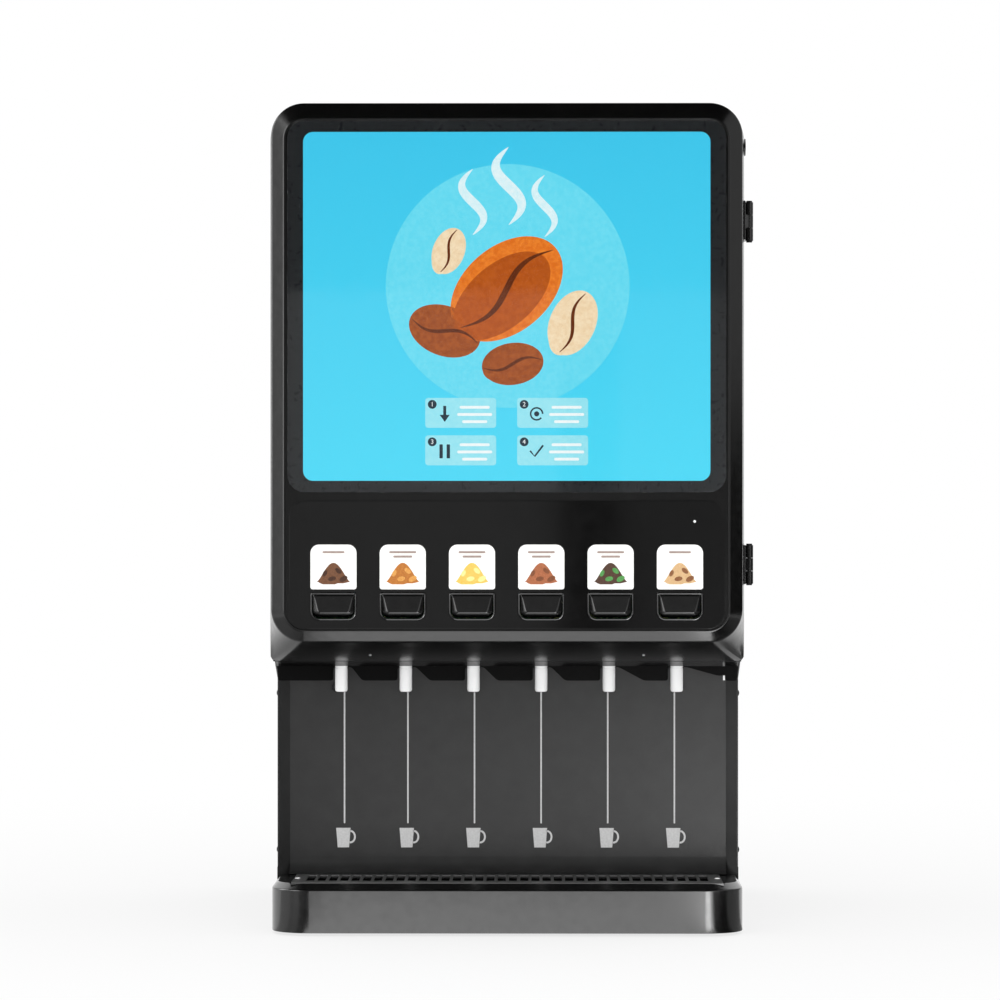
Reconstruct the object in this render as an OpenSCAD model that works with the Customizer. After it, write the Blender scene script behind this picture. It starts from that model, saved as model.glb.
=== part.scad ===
// Six-station powder cappuccino dispenser: cabinet, hinged door, cup bay, drip tray and powder system.
// Millimetres. +Z is up, the door faces -Y, and the origin is on the counter below the middle of the cabinet.
// Depths in the names below run backwards from the front face of the door.

/* [Cabinet] */
// Width across the cabinet sides
cabinet_w = 478; // [462:1:500]
// Height of the cabinet's top above the counter
cabinet_h = 839; // [825:1:880]
// Depth from the door's front face to the back panel
machine_d = 580; // [570:1:640]
// Thickness of the sheet metal
sheet_t = 1.5; // [1:0.1:2]
// Radius of the top corners
top_r = 34; // [20:1:40]
// Height of the cup bay's ceiling above the counter
bay_top_z = 277; // [268:1:285]
// Depth at which the cheeks below the ceiling start to slope
cheek_front_d = 105; // [80:1:110]
// Rise of the side panels' lower edge towards the door
cheek_lift = 3; // [0:0.5:6]
// Drop of the cheeks below the ceiling
cheek_drop = 21.4; // [10:0.2:30]

/* [Base] */
// Step of the base beyond the cabinet's sides
base_step = 0.5; // [0:0.1:3]
// Setback of the base's front behind the door's front
base_front_d = 40; // [30:1:44]
// Height of the base's straight wall
base_h = 43.6; // [40:0.2:60]
// Radius of the base's front corners
base_r = 36; // [20:1:44]
// Height of the chamfer on top of the base
base_chamfer_h = 6.4; // [4:0.2:10]
// Depth of the chamfer at the front
base_chamfer_front = 13.5; // [8:0.5:18]
// Width of the chamfer at the sides
base_chamfer_side = 5; // [3:0.5:8]
// Wall of the base moulding
base_wall = 3; // [2:0.5:4]
// Height of the upstand that carries the column
upstand_h = 7; // [4:0.5:12]
// Height of the rubber feet
foot_h = 3; // [2:0.5:6]
// Diameter of the rubber feet
foot_dia = 30; // [20:1:40]
// Distance of the feet's centres from the base's edges
foot_inset = 50; // [42:1:70]

/* [Drip tray] */
// Plain deck at each side of the grille and tray
grille_side = 20.5; // [17:0.5:40]
// Length of the grille from front to back
grille_len = 96.5; // [80:0.5:100]
// Thickness of the grille
grille_t = 4; // [2:0.5:6]
// Flat land in front of the grille
deck_land = 1.5; // [1:0.1:3]
// Pitch of the grille's slots
slot_pitch = 11.5; // [9:0.1:16]
// Width of a slot
slot_w = 8.3; // [4:0.1:8.5]
// Length of a slot
slot_len = 62; // [40:1:70]
// Plain margin at each end of the row of slots
slot_margin = 13; // [8:0.5:30]
// Depth of the tray below the grille
tray_h = 32; // [20:1:33]
// Wall of the tray
tray_wall = 2; // [1:0.5:3]
// Clearance around the tray in its well
tray_gap = 0.6; // [0.4:0.1:1]

/* [Splash panel] */
// Flat land behind the grille
deck_back = 1; // [0.8:0.1:10]
// Width of the angled flange at each side of the splash panel
splash_side = 12.3; // [11:0.1:20]
// Depth that the angled flanges come forward
flange_d = 10; // [6:0.5:14]
// Radius of the cove at the foot
cove_r = 17.5; // [10:0.5:18]
// Diameter of the screw heads on the splash panel
splash_screw_dia = 8.5; // [6:0.5:12]
// Distance of the splash screws from the sides of the panel's flat
splash_screw_inset = 47.7; // [30:0.1:80]
// Height of the splash screws below the ceiling
splash_screw_drop = 31; // [28:1:50]
// Diameter of the dome screws on the column's sides
side_screw_dia = 8; // [6:0.5:10]
// Protrusion of the dome screws
side_screw_h = 2; // [1.5:0.1:3]

/* [Door] */
// Step of the door's back edge beyond the cabinet's sides
door_step = 1.3; // [0.5:0.1:3]
// Gap between the chin's back edge and the level of the ceiling
chin_gap = 0.5; // [0.2:0.1:2]
// Thickness of the door
door_t = 60; // [56:1:66]
// Growth of the door's half width from the bezel to its back
door_flare = 4; // [2:0.2:6]
// Drop of the chin from the bezel to the door's back
chin_drop = 21.1; // [15:0.1:21.6]
// Corner radius at the bezel's outer edge
door_r = 33; // [28:1:36]
// Radius of the chin's back corners
chin_r = 5.2; // [4.5:0.1:12]
// Width of the bezel's sloping face at the sides
bezel_w = 13; // [10:0.2:16]
// Height of the bezel's sloping face at the top
bezel_top = 15.8; // [10:0.2:18]
// Height of the bezel's sloping face at the bottom
bezel_bottom = 10.5; // [8:0.2:13]
// Depth of the bezel's sloping face
bezel_d = 12; // [8:0.5:16]
// Depth of the recess that holds the glass and the control panel
recess_d = 3; // [2:0.2:5]
// Thickness of the frame behind the recess
frame_t = 3; // [2:0.5:4]
// Gap between the door and the cabinet
door_gap = 2; // [1.6:0.2:3]
// Thickness of the door liner
liner_t = 1.2; // [0.8:0.1:1.4]
// Distance of the chin screws from the bezel's sides
chin_screw_inset = 98.3; // [60:0.1:140]
// Radius of the chin screws
chin_screw_r = 2; // [1.5:0.1:4]

/* [Display] */
// Gap between the bezel's inner edge and the glass at the sides
glass_side = 3.8; // [2:0.1:10]
// Gap between the bezel's inner edge and the glass at the top
glass_top = 2.4; // [2:0.1:10]
// Height of the band between the control panel and the glass
divider_h = 8.7; // [4:0.1:20]
// Corner radius of the glass
glass_r = 17; // [8:0.5:19]
// Set-in of the glass and the control panel from the door's front face
glass_set = 0.4; // [0.2:0.1:1]
// Dark border beside the lit area
border_w = 15.7; // [10:0.1:20]
// Dark border above and below the lit area
border_h = 11.4; // [8:0.1:20]
// Corner radius of the lit area
lit_r = 10; // [6:0.5:14]
// Depth of the light box
light_box_d = 28; // [15:1:40]
// Wall of the light box
light_box_wall = 2; // [1:0.2:3]

/* [Controls] */
// Gap between the bezel's inner edge and the control panel at the sides
panel_side = 5.6; // [2:0.1:10]
// Height of the control panel
panel_h = 128.2; // [120:0.2:134]
// Gap between the bezel's inner edge and the control panel at the foot
panel_foot = 2.6; // [2:0.1:6]
// Corner radius of the control panel
panel_r = 17; // [8:0.5:19]
// Distance of the outer stations' middles from the control panel's sides
station_side = 44.45; // [40:0.05:60]
// Width of a flavour card
card_w = 46.2; // [40:0.2:56]
// Height of a flavour card
card_h = 44.8; // [36:0.2:52]
// Gap between a flavour card and its button
card_gap = 3.2; // [2:0.2:5]
// Thickness of a flavour card
card_t = 0.6; // [0.4:0.1:1]
// Width of a button frame
button_frame_w = 46.2; // [44:0.2:52]
// Height of a button frame
button_frame_h = 27.7; // [26:0.1:30]
// Lower edge of the button frames above the panel's lower edge
button_rise = 8.8; // [6:0.1:12]
// Protrusion of a paddle's lower edge from the door's front
paddle_out = 6.5; // [4:0.5:9]
// Radius of a paddle's trunnions
trunnion_r = 2; // [1.5:0.1:2.4]
// Running clearance of shafts and trunnions
run_gap = 0.05; // [0.03:0.01:0.09]
// Distance of the status light from the control panel's right side
status_inset = 29.7; // [15:0.1:60]
// Radius of the status light
status_r = 1.3; // [1:0.1:3]

/* [Hinges] */
// Length of a hinge
hinge_len = 39.5; // [30:0.5:60]
// Height of the lower hinge's middle above the bezel's lower edge
hinge_low_rise = 76.9; // [50:0.1:120]
// Distance of the upper hinge's middle below the top
hinge_high_drop = 116; // [100:1:160]
// Distance of the hinge axis outside the door's back edge
hinge_out = 5.2; // [5:0.1:6]
// Radius of the hinge knuckles
knuckle_r = 4; // [3.6:0.1:4.2]
// Radius of the hinge pins
hinge_pin_r = 2; // [1.5:0.1:2.5]
// Thickness of the hinge leaves
leaf_t = 2; // [1.5:0.1:2.4]
// Diameter of the plug in the door's side
plug_dia = 17.5; // [12:0.5:20]
// Height of the plug's middle below the top
plug_drop = 42.4; // [40:0.2:60]

/* [Spouts] */
// Depth of the spouts' middle
spout_d = 99; // [96:0.5:100]
// Radius of a spout
spout_r = 6.4; // [5.5:0.1:7]
// Bore radius of a spout
spout_bore_r = 4; // [3:0.1:4.2]
// Shift of the first station's spout towards the middle
first_spout_shift = 3.3; // [0:0.1:5]
// Length of a spout below its collar
spout_len = 27.4; // [20:0.2:30]
// Radius of the collar above a spout
collar_r = 8; // [6.5:0.1:8.4]
// Height of the collar below the ceiling
collar_h = 5; // [3:0.5:8]
// Height of a notch in the valance
notch_rise = 14; // [8:0.5:16]
// Distance from a spout's middle to the upright side of its notch
notch_left = 8.6; // [8.4:0.1:12]
// Distance from a spout's middle to the top of its notch's slope
notch_right = 10; // [9:0.5:12]
// Reach of a notch's slope at its foot
notch_slant = 14.5; // [0:0.5:16]
// Reach of the first notch's slope
first_slant = 11; // [0:0.5:14]
// Reach of the slope of the last notch but one
wide_slant = 26; // [0:0.5:28]
// Reach of the last notch's slope
last_slant = 32; // [0:0.5:33]
// Length of the ledge beside the last notch
ledge_len = 8; // [4:0.5:10]
// Height of the ledge above the valance's lower edge
ledge_rise = 5.2; // [2:0.2:8]

/* [Mixing] */
// Depth of the mixer plate
mixer_d = 140; // [139:0.5:144]
// Height of the whipper shafts above the ceiling of the cup bay
whip_rise = 43; // [40:1:47]
// Outer radius of a mixing bowl
bowl_r = 24; // [22:0.5:26]
// Wall of a mixing bowl
bowl_wall = 2.5; // [1.5:0.1:3]
// Front of a mixing bowl's chamber
bowl_front_d = 82; // [74:0.5:84]
// Top of a mixing bowl's funnel above its shaft
funnel_rise = 54; // [44:1:58]
// Radius of an impeller
impeller_r = 18; // [12:0.5:18.5]
// Radius of a whipper shaft
whip_shaft_r = 3; // [2.5:0.1:4]
// Radius of a whipper motor
whip_motor_r = 26; // [20:0.5:27]
// Length of a whipper motor
whip_motor_len = 60; // [40:1:70]

/* [Powder] */
// Height of the hopper shelf above the whipper shafts
shelf_rise = 90; // [86:1:100]
// Gap between two hoppers
hopper_gap = 5.3; // [4:0.1:12]
// Length of a hopper
hopper_len = 280; // [240:1:290]
// Height of a hopper
hopper_h = 230; // [200:1:240]
// Wall of a hopper
hopper_wall = 2; // [1.5:0.1:3]
// Height of the auger above the shelf
auger_rise = 22; // [20:0.5:26]
// Bore radius of the auger's trough
trough_r = 13; // [12.5:0.1:15]
// Radius of an auger's flight
auger_r = 12; // [9:0.1:12]
// Radius of an auger's shaft
auger_shaft_r = 4; // [3:0.1:5]
// Pitch of an auger's flight
auger_pitch = 40; // [30:1:60]
// Thickness of an auger's flight
flight_t = 4; // [3:0.2:6]
// Radius of the powder outlet
outlet_r = 12; // [10:0.5:13]
// Radius of an auger motor
auger_motor_r = 20; // [16:0.5:21]
// Length of an auger motor
auger_motor_len = 60; // [40:1:70]
// Thickness of a refill flap
flap_t = 3; // [2:0.5:4]
// Radius of the rod that carries a refill flap
flap_rod_r = 1.5; // [1.2:0.1:2]

/* [Water] */
// Width of the water tank
tank_w = 300; // [200:5:340]
// Height of the water tank
tank_h = 180; // [140:1:185]
// Length of the water tank
tank_len = 330; // [240:5:340]
// Wall of the water tank
tank_wall = 1.5; // [1:0.1:3]
// Width of a water valve
valve_w = 24; // [16:1:30]
// Height of a water valve
valve_h = 30; // [20:1:34]
// Length of a water valve
valve_len = 36; // [24:1:44]
// Radius of the manifold pipe
manifold_r = 6; // [5:0.5:6]
// Radius of the water inlet's thread
inlet_r = 5.56; // [5:0.02:9]
// Length of the water inlet's thread
inlet_len = 14; // [10:0.5:20]
// Height of the water inlet above the counter
inlet_z = 105; // [90:1:140]
// Bore radius of the cord gland
gland_bore_r = 4.5; // [3:0.1:6]
// Distance of the inlet and the gland from the cabinet's sides
service_inset = 49; // [34:1:57]
// Distance of the water tank behind the splash panel
tank_gap = 30; // [20:1:50]
// Distance of the riser behind the water tank's front
riser_inset = 20; // [14:1:40]

/* [Control board] */
// Width of the control board
control_w = 220; // [190:1:300]
// Height of the control board
control_h = 170; // [120:1:220]
// Height of the control board above the hopper shelf
control_rise = 90; // [60:1:120]
// Length of the posts behind the control board
control_post_len = 18; // [8:1:30]
// Width of a chip
chip_w = 34; // [20:1:40]
// Height of a chip
chip_h = 50; // [20:1:60]
// Thickness of a chip
chip_t = 14; // [6:1:20]
// Length of the terminal strip
terminal_w = 180; // [100:1:184]
// Height of the terminal strip
terminal_h = 12; // [8:1:16]
// Thickness of the terminal strip
terminal_t = 10; // [6:1:16]

/* [Louvres] */
// Width of a louvre in the back panel
louvre_w = 60; // [30:1:90]
// Height of a louvre
louvre_h = 5; // [3:0.5:8]
// Pitch of the louvres
louvre_pitch = 14; // [10:1:20]
// Distance of the two rows of louvres from the cabinet's sides
louvre_inset = 119; // [80:1:160]
// Distance of the first louvre below the top corners
louvre_drop = 40; // [20:1:80]

/* [Hidden] */
$fn = 64;
hull_fn = 32;
eps = 0.01;
stations = 6;

// Widths that follow the cabinet
base_w = cabinet_w + 2 * base_step;
grille_w = base_w - 2 * grille_side;
splash_w = cabinet_w - 2 * splash_side;
splash_screw_span = splash_w - 2 * splash_screw_inset;
door_w = cabinet_w + 2 * door_step - 2 * door_flare;
front_w = door_w - 2 * bezel_w;
back_w = door_w + 2 * door_flare;
chin_screw_span = door_w - 2 * chin_screw_inset;
glass_w = front_w - 2 * glass_side;
panel_w = front_w - 2 * panel_side;
station_pitch = (panel_w - 2 * station_side) / (stations - 1);
hopper_w = station_pitch - hopper_gap;
status_x = panel_w / 2 - status_inset;
service_x = cabinet_w / 2 - service_inset;
louvre_x = cabinet_w / 2 - louvre_inset;

// Depth behind the door's front face, as a y
function yd(d) = d - machine_d / 2;
function station_x(i) = (i - (stations - 1) / 2) * station_pitch;
function spout_x(i) = station_x(i) + (i == 0 ? first_spout_shift : 0);

// Derived places
cabinet_front_d = door_t + door_gap;
floor_z = bay_top_z + sheet_t;
side_in = cabinet_w / 2 - sheet_t;
deck_z = foot_h + base_h + base_chamfer_h;
column_z = deck_z + upstand_h;
side_top_z = cabinet_h - top_r;
grille_front_d = base_front_d + base_chamfer_front + deck_land;
grille_back_d = grille_front_d + grille_len;
splash_d = grille_back_d + deck_back + cove_r;
cheek_back_d = splash_d - flange_d - 1;
grille_z = deck_z - grille_t;
well_z = grille_z - tray_h;
upstand_w = base_w - 0.4;
upstand_wall = 6;

// Derived places of the door
door_top_z = cabinet_h - 0.2;
chin_z = bay_top_z + chin_gap;
door_bottom_z = chin_z + chin_drop;
bezel_top_z = door_top_z - bezel_top;
bezel_bottom_z = door_bottom_z + bezel_bottom;
recess_edge = 1.6;
panel_z = bezel_bottom_z + panel_foot;
glass_z = panel_z + panel_h + divider_h;
glass_h = bezel_top_z - glass_top - glass_z;
lit_w = glass_w - 2 * border_w;
lit_h = glass_h - 2 * border_h;
lit_z = glass_z + border_h;
lit_gap = 3;
frame_back_d = recess_d + frame_t;
chin_angle = atan2(chin_drop, door_t - bezel_d);
function door_side(d) = door_w / 2 + door_flare * (d - bezel_d) / (door_t - bezel_d);

// Derived places of the controls
button_z = panel_z + button_rise;
button_top_z = button_z + button_frame_h;
card_z = button_top_z + card_gap;
rim_w = 2.1;
rim_h = 0.8;
flange_w = 3;
paddle_w = button_frame_w - 4.8;
paddle_z = button_z + 2.5;
paddle_top_z = button_top_z - 1.9;
pivot_d = 5;
pivot_z = button_top_z - 4.2;
paddle_back_d = 9;
switch_d = 12;
board_d = 16;
board_t = 1.6;
rim_out = 1;
status_z = card_z + card_h + 23.2;

// Derived places of the hinges
hinge_x = door_side(door_t) + hinge_out;
hinge_d = door_t + door_gap / 2;
hinge_low_z = door_bottom_z + hinge_low_rise;
hinge_high_z = cabinet_h - hinge_high_drop;
hinge_zs = [hinge_low_z, hinge_high_z];
hinge_play = 0.3;
seat_gap = 0.02;
leaf_len = 26;
door_leaf_len = 20;

// Derived places of the mixing and powder systems
plate_t = 2;
whip_bore_len = 24;
whip_z = bay_top_z + whip_rise;
shelf_z = whip_z + shelf_rise;
mixer_back_d = mixer_d + plate_t;
funnel_z = whip_z + funnel_rise;
funnel_w = 2 * bowl_r;
collar_z = bay_top_z - collar_h;
hood_gap = 0.5;
hood_edge = 0.8;
valance_gap = 2;
auger_z = shelf_z + auger_rise;
hopper_front_d = mixer_d + 5;
hopper_back_d = hopper_front_d + hopper_len;
hopper_top_z = shelf_z + hopper_h;
tube_r = trough_r + hopper_wall;
tube_front_d = spout_d - 3;
outlet_d = tube_front_d + hopper_wall + outlet_r + 2;
outlet_z = funnel_z + 5;
shoulder_rise = 58;
shoulder_z = auger_z + shoulder_rise;
mouth_back_d = hopper_front_d + hopper_len / 2;
flap_z = hopper_top_z + 0.5;
flap_rod_d = mouth_back_d + 7;
flap_rod_z = flap_z + flap_t + 0.5;
flap_barrel_r = flap_rod_r + 1.7;
flap_barrel_w = 40;
flap_ear_w = 4;
auger_motor_d = hopper_back_d + 8;
coupling_len = 14;
shelf_back_d = auger_motor_d + auger_motor_len + 10;
valve_z = whip_z + whip_motor_r + 8;
tube_water_r = 3;
tube_water_drop = 12;
tube_water_z = funnel_z - tube_water_drop;
manifold_d = mixer_back_d + valve_len + manifold_r - 1;
manifold_z = valve_z + valve_h / 2;
tank_front_d = splash_d + tank_gap;
riser_d = tank_front_d + riser_inset;

// Rectangle from [0, 0] with rounded lower corners rb and upper corners rt
module rounded(w, h, rb, rt) {
    translate([0, rb]) square([w, h - rb - rt]);
    translate([rb, 0]) square([w - 2 * rb, h / 2]);
    translate([rt, h / 2]) square([w - 2 * rt, h / 2]);
    for (x = [rb, w - rb]) translate([x, rb]) circle(rb);
    for (x = [rt, w - rt]) translate([x, h - rt]) circle(rt);
}

// Rectangle from [0, 0] with only its upper corners rounded
module arched(w, h, r) {
    square([w, h - r]);
    translate([r, 0]) square([w - 2 * r, h]);
    for (x = [r, w - r]) translate([x, h - r]) circle(r);
}

// Box between x, depth and height limits
module box(x0, x1, d0, d1, z0, z1) {
    translate([x0, yd(d0), z0]) cube([x1 - x0, d1 - d0, z1 - z0]);
}

// Upright plate from an outline in x and z, between two depths
module facing(d0, d1) {
    translate([0, yd(d1), 0]) rotate([90, 0, 0]) linear_extrude(d1 - d0) children();
}

// Solid from an outline in y and z, between two x
module across(x0, x1) {
    translate([x0, 0, 0]) rotate([90, 0, 90]) linear_extrude(x1 - x0) children();
}

// Solid from an outline in x and y, between two heights
module rising(z0, z1) {
    translate([0, 0, z0]) linear_extrude(z1 - z0) children();
}

// Rods along depth, width and height
module rod_d(x, z, r, d0, d1) {
    translate([x, yd(d0), z]) rotate([-90, 0, 0]) cylinder(r = r, h = d1 - d0);
}
module rod_x(d, z, r, x0, x1) {
    translate([x0, yd(d), z]) rotate([0, 90, 0]) cylinder(r = r, h = x1 - x0);
}
module rod_z(x, d, r, z0, z1) {
    translate([x, yd(d), z0]) cylinder(r = r, h = z1 - z0);
}

module each_station() {
    for (i = [0:stations - 1]) translate([station_x(i), 0, 0]) children();
}

module each_spout() {
    for (i = [0:stations - 1]) translate([spout_x(i), 0, 0]) children();
}

module both_sides() {
    children();
    mirror([1, 0, 0]) children();
}

// Centred rounded plate, upright
module panel_plate(w, z0, h, r, d0, d1) {
    facing(d0, d1) translate([-w / 2, z0]) rounded(w, h, r, r);
}

// Base

module base_plan(side, front) {
    w = base_w - 2 * side;
    front_y = yd(base_front_d + front);
    r = base_r - side;
    translate([w / 2, yd(machine_d)]) rotate(180) arched(w, yd(machine_d) - front_y, r);
}

module tray_well(grow, z0, z1) {
    half = grille_w / 2 + tray_gap + grow;
    reach = tray_gap + grow;
    box(-half, half, grille_front_d - reach, grille_back_d + reach, z0, z1);
}

module feet_at(r, z0, z1) {
    for (d = [base_front_d + foot_inset, machine_d - foot_inset]) {
        both_sides() rod_z(base_w / 2 - foot_inset, d, r, z0, z1);
    }
}

module upstand() {
    z0 = foot_h + base_h;
    half = upstand_w / 2;
    wedge_back_d = splash_d + sheet_t + upstand_wall;
    difference() {
        box(-half, half, wedge_back_d - eps, machine_d, z0, column_z);
        inner = half - upstand_wall;
        box(-inner, inner, splash_d, machine_d - upstand_wall, z0 - 1, column_z + 1);
    }
    both_sides() rising(z0, column_z) polygon([
        [splash_w / 2, yd(splash_d)],
        [side_in, yd(splash_d - flange_d)],
        [half, yd(splash_d - flange_d - 1)],
        [half, yd(wedge_back_d)],
        [splash_w / 2, yd(wedge_back_d)]
    ]);
}

module base_shell() {
    wall_top_z = foot_h + base_h;
    color("gray") difference() {
        union() {
            rising(foot_h, wall_top_z) base_plan(0, 0);
            hull() {
                rising(wall_top_z - eps, wall_top_z) base_plan(0, 0, $fn = hull_fn);
                rising(deck_z - eps, deck_z) base_plan(base_chamfer_side, base_chamfer_front, $fn = hull_fn);
            }
            upstand();
        }
        difference() {
            rising(foot_h - 1, wall_top_z - base_wall) base_cavity();
            tray_well(base_wall, well_z - base_wall, deck_z);
            feet_at(foot_dia / 2 + base_wall, foot_h - 1, deck_z);
        }
        tray_well(0, well_z, deck_z + 1);
    }
}

module base_cavity() {
    half = base_w / 2 - base_wall;
    r = base_r - base_wall;
    len = machine_d - base_front_d - 2 * base_wall;
    translate([half, yd(machine_d - base_wall)]) rotate(180) arched(2 * half, len, r);
}

module rubber_feet() {
    color("black") feet_at(foot_dia / 2, 0, foot_h);
}

// Drip tray

module drip_tray() {
    color("dimgray") difference() {
        box(-grille_w / 2, grille_w / 2, grille_front_d, grille_back_d, well_z, grille_z);
        half = grille_w / 2 - tray_wall;
        front = grille_front_d + tray_wall;
        box(-half, half, front, grille_back_d - tray_wall, well_z + tray_wall, grille_z + 1);
    }
}

// Front and back rails with a bar set between them at each side of a slot
module drip_grille() {
    count = floor((grille_w - 2 * slot_margin + slot_pitch - slot_w) / slot_pitch);
    first = -(count - 1) / 2 * slot_pitch - slot_w / 2;
    half = grille_w / 2;
    slot_d = grille_front_d + (grille_len - slot_len) * 0.65;
    slot_back_d = slot_d + slot_len;
    color("black") {
        box(-half, half, grille_front_d, slot_d, grille_z, deck_z);
        box(-half, half, slot_back_d, grille_back_d, grille_z, deck_z);
        for (i = [0:count]) {
            x0 = i == 0 ? -half : first + (i - 1) * slot_pitch + slot_w;
            x1 = i == count ? half : first + i * slot_pitch;
            box(x0, x1, slot_d + seat_gap, slot_back_d - seat_gap, grille_z, deck_z);
        }
    }
}

// Cabinet shell

module side_outline() {
    polygon([
        [yd(cabinet_front_d), bay_top_z + cheek_lift],
        [yd(cheek_front_d), bay_top_z],
        [yd(cheek_back_d), bay_top_z - cheek_drop],
        [yd(cheek_back_d), column_z],
        [yd(machine_d - sheet_t), column_z],
        [yd(machine_d - sheet_t), side_top_z],
        [yd(cabinet_front_d), side_top_z]
    ]);
}

module side_panel() {
    across(side_in, cabinet_w / 2) side_outline();
}

module left_side_panel() {
    color("dimgray") mirror([1, 0, 0]) side_panel();
}

module right_side_panel() {
    color("dimgray") side_panel();
}

module top_cover() {
    color("dimgray") facing(cabinet_front_d, machine_d - sheet_t) difference() {
        translate([-cabinet_w / 2, side_top_z - top_r]) arched(cabinet_w, 2 * top_r, top_r);
        translate([-side_in, side_top_z - 2 * top_r]) {
            arched(2 * side_in, 3 * top_r - sheet_t, top_r - sheet_t);
        }
        translate([-cabinet_w, side_top_z - 2 * top_r]) square([2 * cabinet_w, 2 * top_r]);
    }
}

module back_panel() {
    cut = machine_d - 2 * sheet_t;
    color("dimgray") difference() {
        facing(machine_d - sheet_t, machine_d) {
            translate([-cabinet_w / 2, column_z]) arched(cabinet_w, cabinet_h - column_z, top_r);
        }
        for (x = [-1, 1], row = [0:7]) {
            z = side_top_z - louvre_drop - row * louvre_pitch;
            x0 = x * louvre_x - louvre_w / 2;
            box(x0, x0 + louvre_w, cut, machine_d + 1, z, z + louvre_h);
        }
        rod_d(-service_x, inlet_z, inlet_r + 2.5, cut, machine_d + 1);
        rod_d(service_x, inlet_z, gland_bore_r + 4.5, cut, machine_d + 1);
    }
}

module cabinet_floor() {
    color("black") difference() {
        box(-side_in, side_in, cabinet_front_d, splash_d + sheet_t, bay_top_z, floor_z);
        each_spout() rod_z(0, spout_d, collar_r + 0.3, bay_top_z - 1, floor_z + 1);
    }
}

// Cup bay

module splash_screw_at(x, r, d0, d1) {
    rod_d(x, bay_top_z - splash_screw_drop, r, d0, d1);
}

module splash_panel() {
    half = splash_w / 2;
    cove_z = deck_z + cove_r;
    cove_y = yd(splash_d - cove_r);
    color("dimgray") difference() {
        union() {
            box(-half, half, splash_d, splash_d + sheet_t, cove_z, bay_top_z);
            across(-half, half) intersection() {
                difference() {
                    translate([cove_y, cove_z]) circle(cove_r + sheet_t);
                    translate([cove_y, cove_z]) circle(cove_r);
                }
                translate([cove_y, deck_z]) square([cove_r + sheet_t, cove_r]);
            }
            both_sides() rising(column_z, bay_top_z) polygon([
                [half - eps, yd(splash_d)],
                [side_in, yd(splash_d - flange_d)],
                [side_in, yd(splash_d - flange_d + sheet_t)],
                [half - eps, yd(splash_d + sheet_t)]
            ]);
        }
        for (s = [-1, 1]) {
            splash_screw_at(s * splash_screw_span / 2, 2.2, splash_d - 1, splash_d + sheet_t + 1);
        }
    }
}

module dome(r, h) {
    big = (r * r + h * h) / (2 * h);
    intersection() {
        translate([0, 0, h - big]) sphere(big);
        cylinder(r = r, h = h);
    }
}

module column_screws() {
    color("black") {
        for (s = [-1, 1]) {
            splash_screw_at(s * splash_screw_span / 2, splash_screw_dia / 2, splash_d - 3, splash_d);
            splash_screw_at(s * splash_screw_span / 2, 2, splash_d - eps, splash_d + sheet_t + 4);
        }
        for (z = [column_z + 17, bay_top_z - 37]) {
            both_sides() translate([cabinet_w / 2, yd(splash_d + 5), z]) rotate([0, 90, 0]) {
                dome(side_screw_dia / 2, side_screw_h);
            }
        }
    }
}

function slant(i) =
    i == 0 ? first_slant :
    i == stations - 1 ? last_slant :
    i == stations - 2 ? wide_slant :
    notch_slant;

module notch_outline(i) {
    z0 = bay_top_z - cheek_drop;
    foot_x = notch_right + slant(i);
    last = i == stations - 1;
    foot = last
        ? [[foot_x, z0 + ledge_rise], [foot_x + ledge_len, z0 + ledge_rise], [foot_x + ledge_len, z0 - 1]]
        : [[foot_x, z0 - 1]];
    polygon(concat([
        [-notch_left, z0 - 1],
        [-notch_left, z0 + notch_rise],
        [notch_right, z0 + notch_rise]
    ], foot));
}

// Hood that slopes from the front of the ceiling down to the foot of the collars
module bay_hood(half) {
    back = spout_d - collar_r - hood_gap;
    across(-half, half) polygon([
        [yd(cabinet_front_d), bay_top_z],
        [yd(cabinet_front_d), bay_top_z - hood_edge],
        [yd(back), collar_z],
        [yd(back), bay_top_z]
    ]);
}

module spout_valance() {
    front = spout_d + collar_r;
    half = side_in - valance_gap;
    color("black") {
        difference() {
            box(-half, half, front, front + sheet_t, bay_top_z - cheek_drop, bay_top_z);
            facing(front - 1, front + sheet_t + 1) each_notch();
        }
        bay_hood(half);
    }
}

module each_notch() {
    for (i = [0:stations - 1]) translate([spout_x(i), 0]) notch_outline(i);
}

module spouts() {
    tip_z = collar_z - spout_len;
    neck_r = spout_bore_r + 0.4;
    color("white") each_spout() difference() {
        union() {
            rod_z(0, spout_d, spout_r, tip_z, collar_z);
            rod_z(0, spout_d, neck_r, collar_z - eps, collar_z + 2 * collar_h);
        }
        rod_z(0, spout_d, spout_bore_r - 0.6, tip_z - 1, collar_z + 2 * collar_h + 1);
    }
}

// Mixing system

module mixer_plate() {
    half = side_in;
    color("silver") difference() {
        union() {
            box(-half, half, mixer_d, mixer_back_d, floor_z, shelf_z - eps);
            box(-half, half, mixer_d, shelf_back_d, shelf_z - plate_t, shelf_z);
        }
        each_station() {
            rod_d(0, whip_z, whip_shaft_r + 2, mixer_d - 1, mixer_back_d + 1);
            rod_d(0, tube_water_z, tube_water_r + 0.2, mixer_d - 1, mixer_back_d + 1);
        }
    }
}

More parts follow.
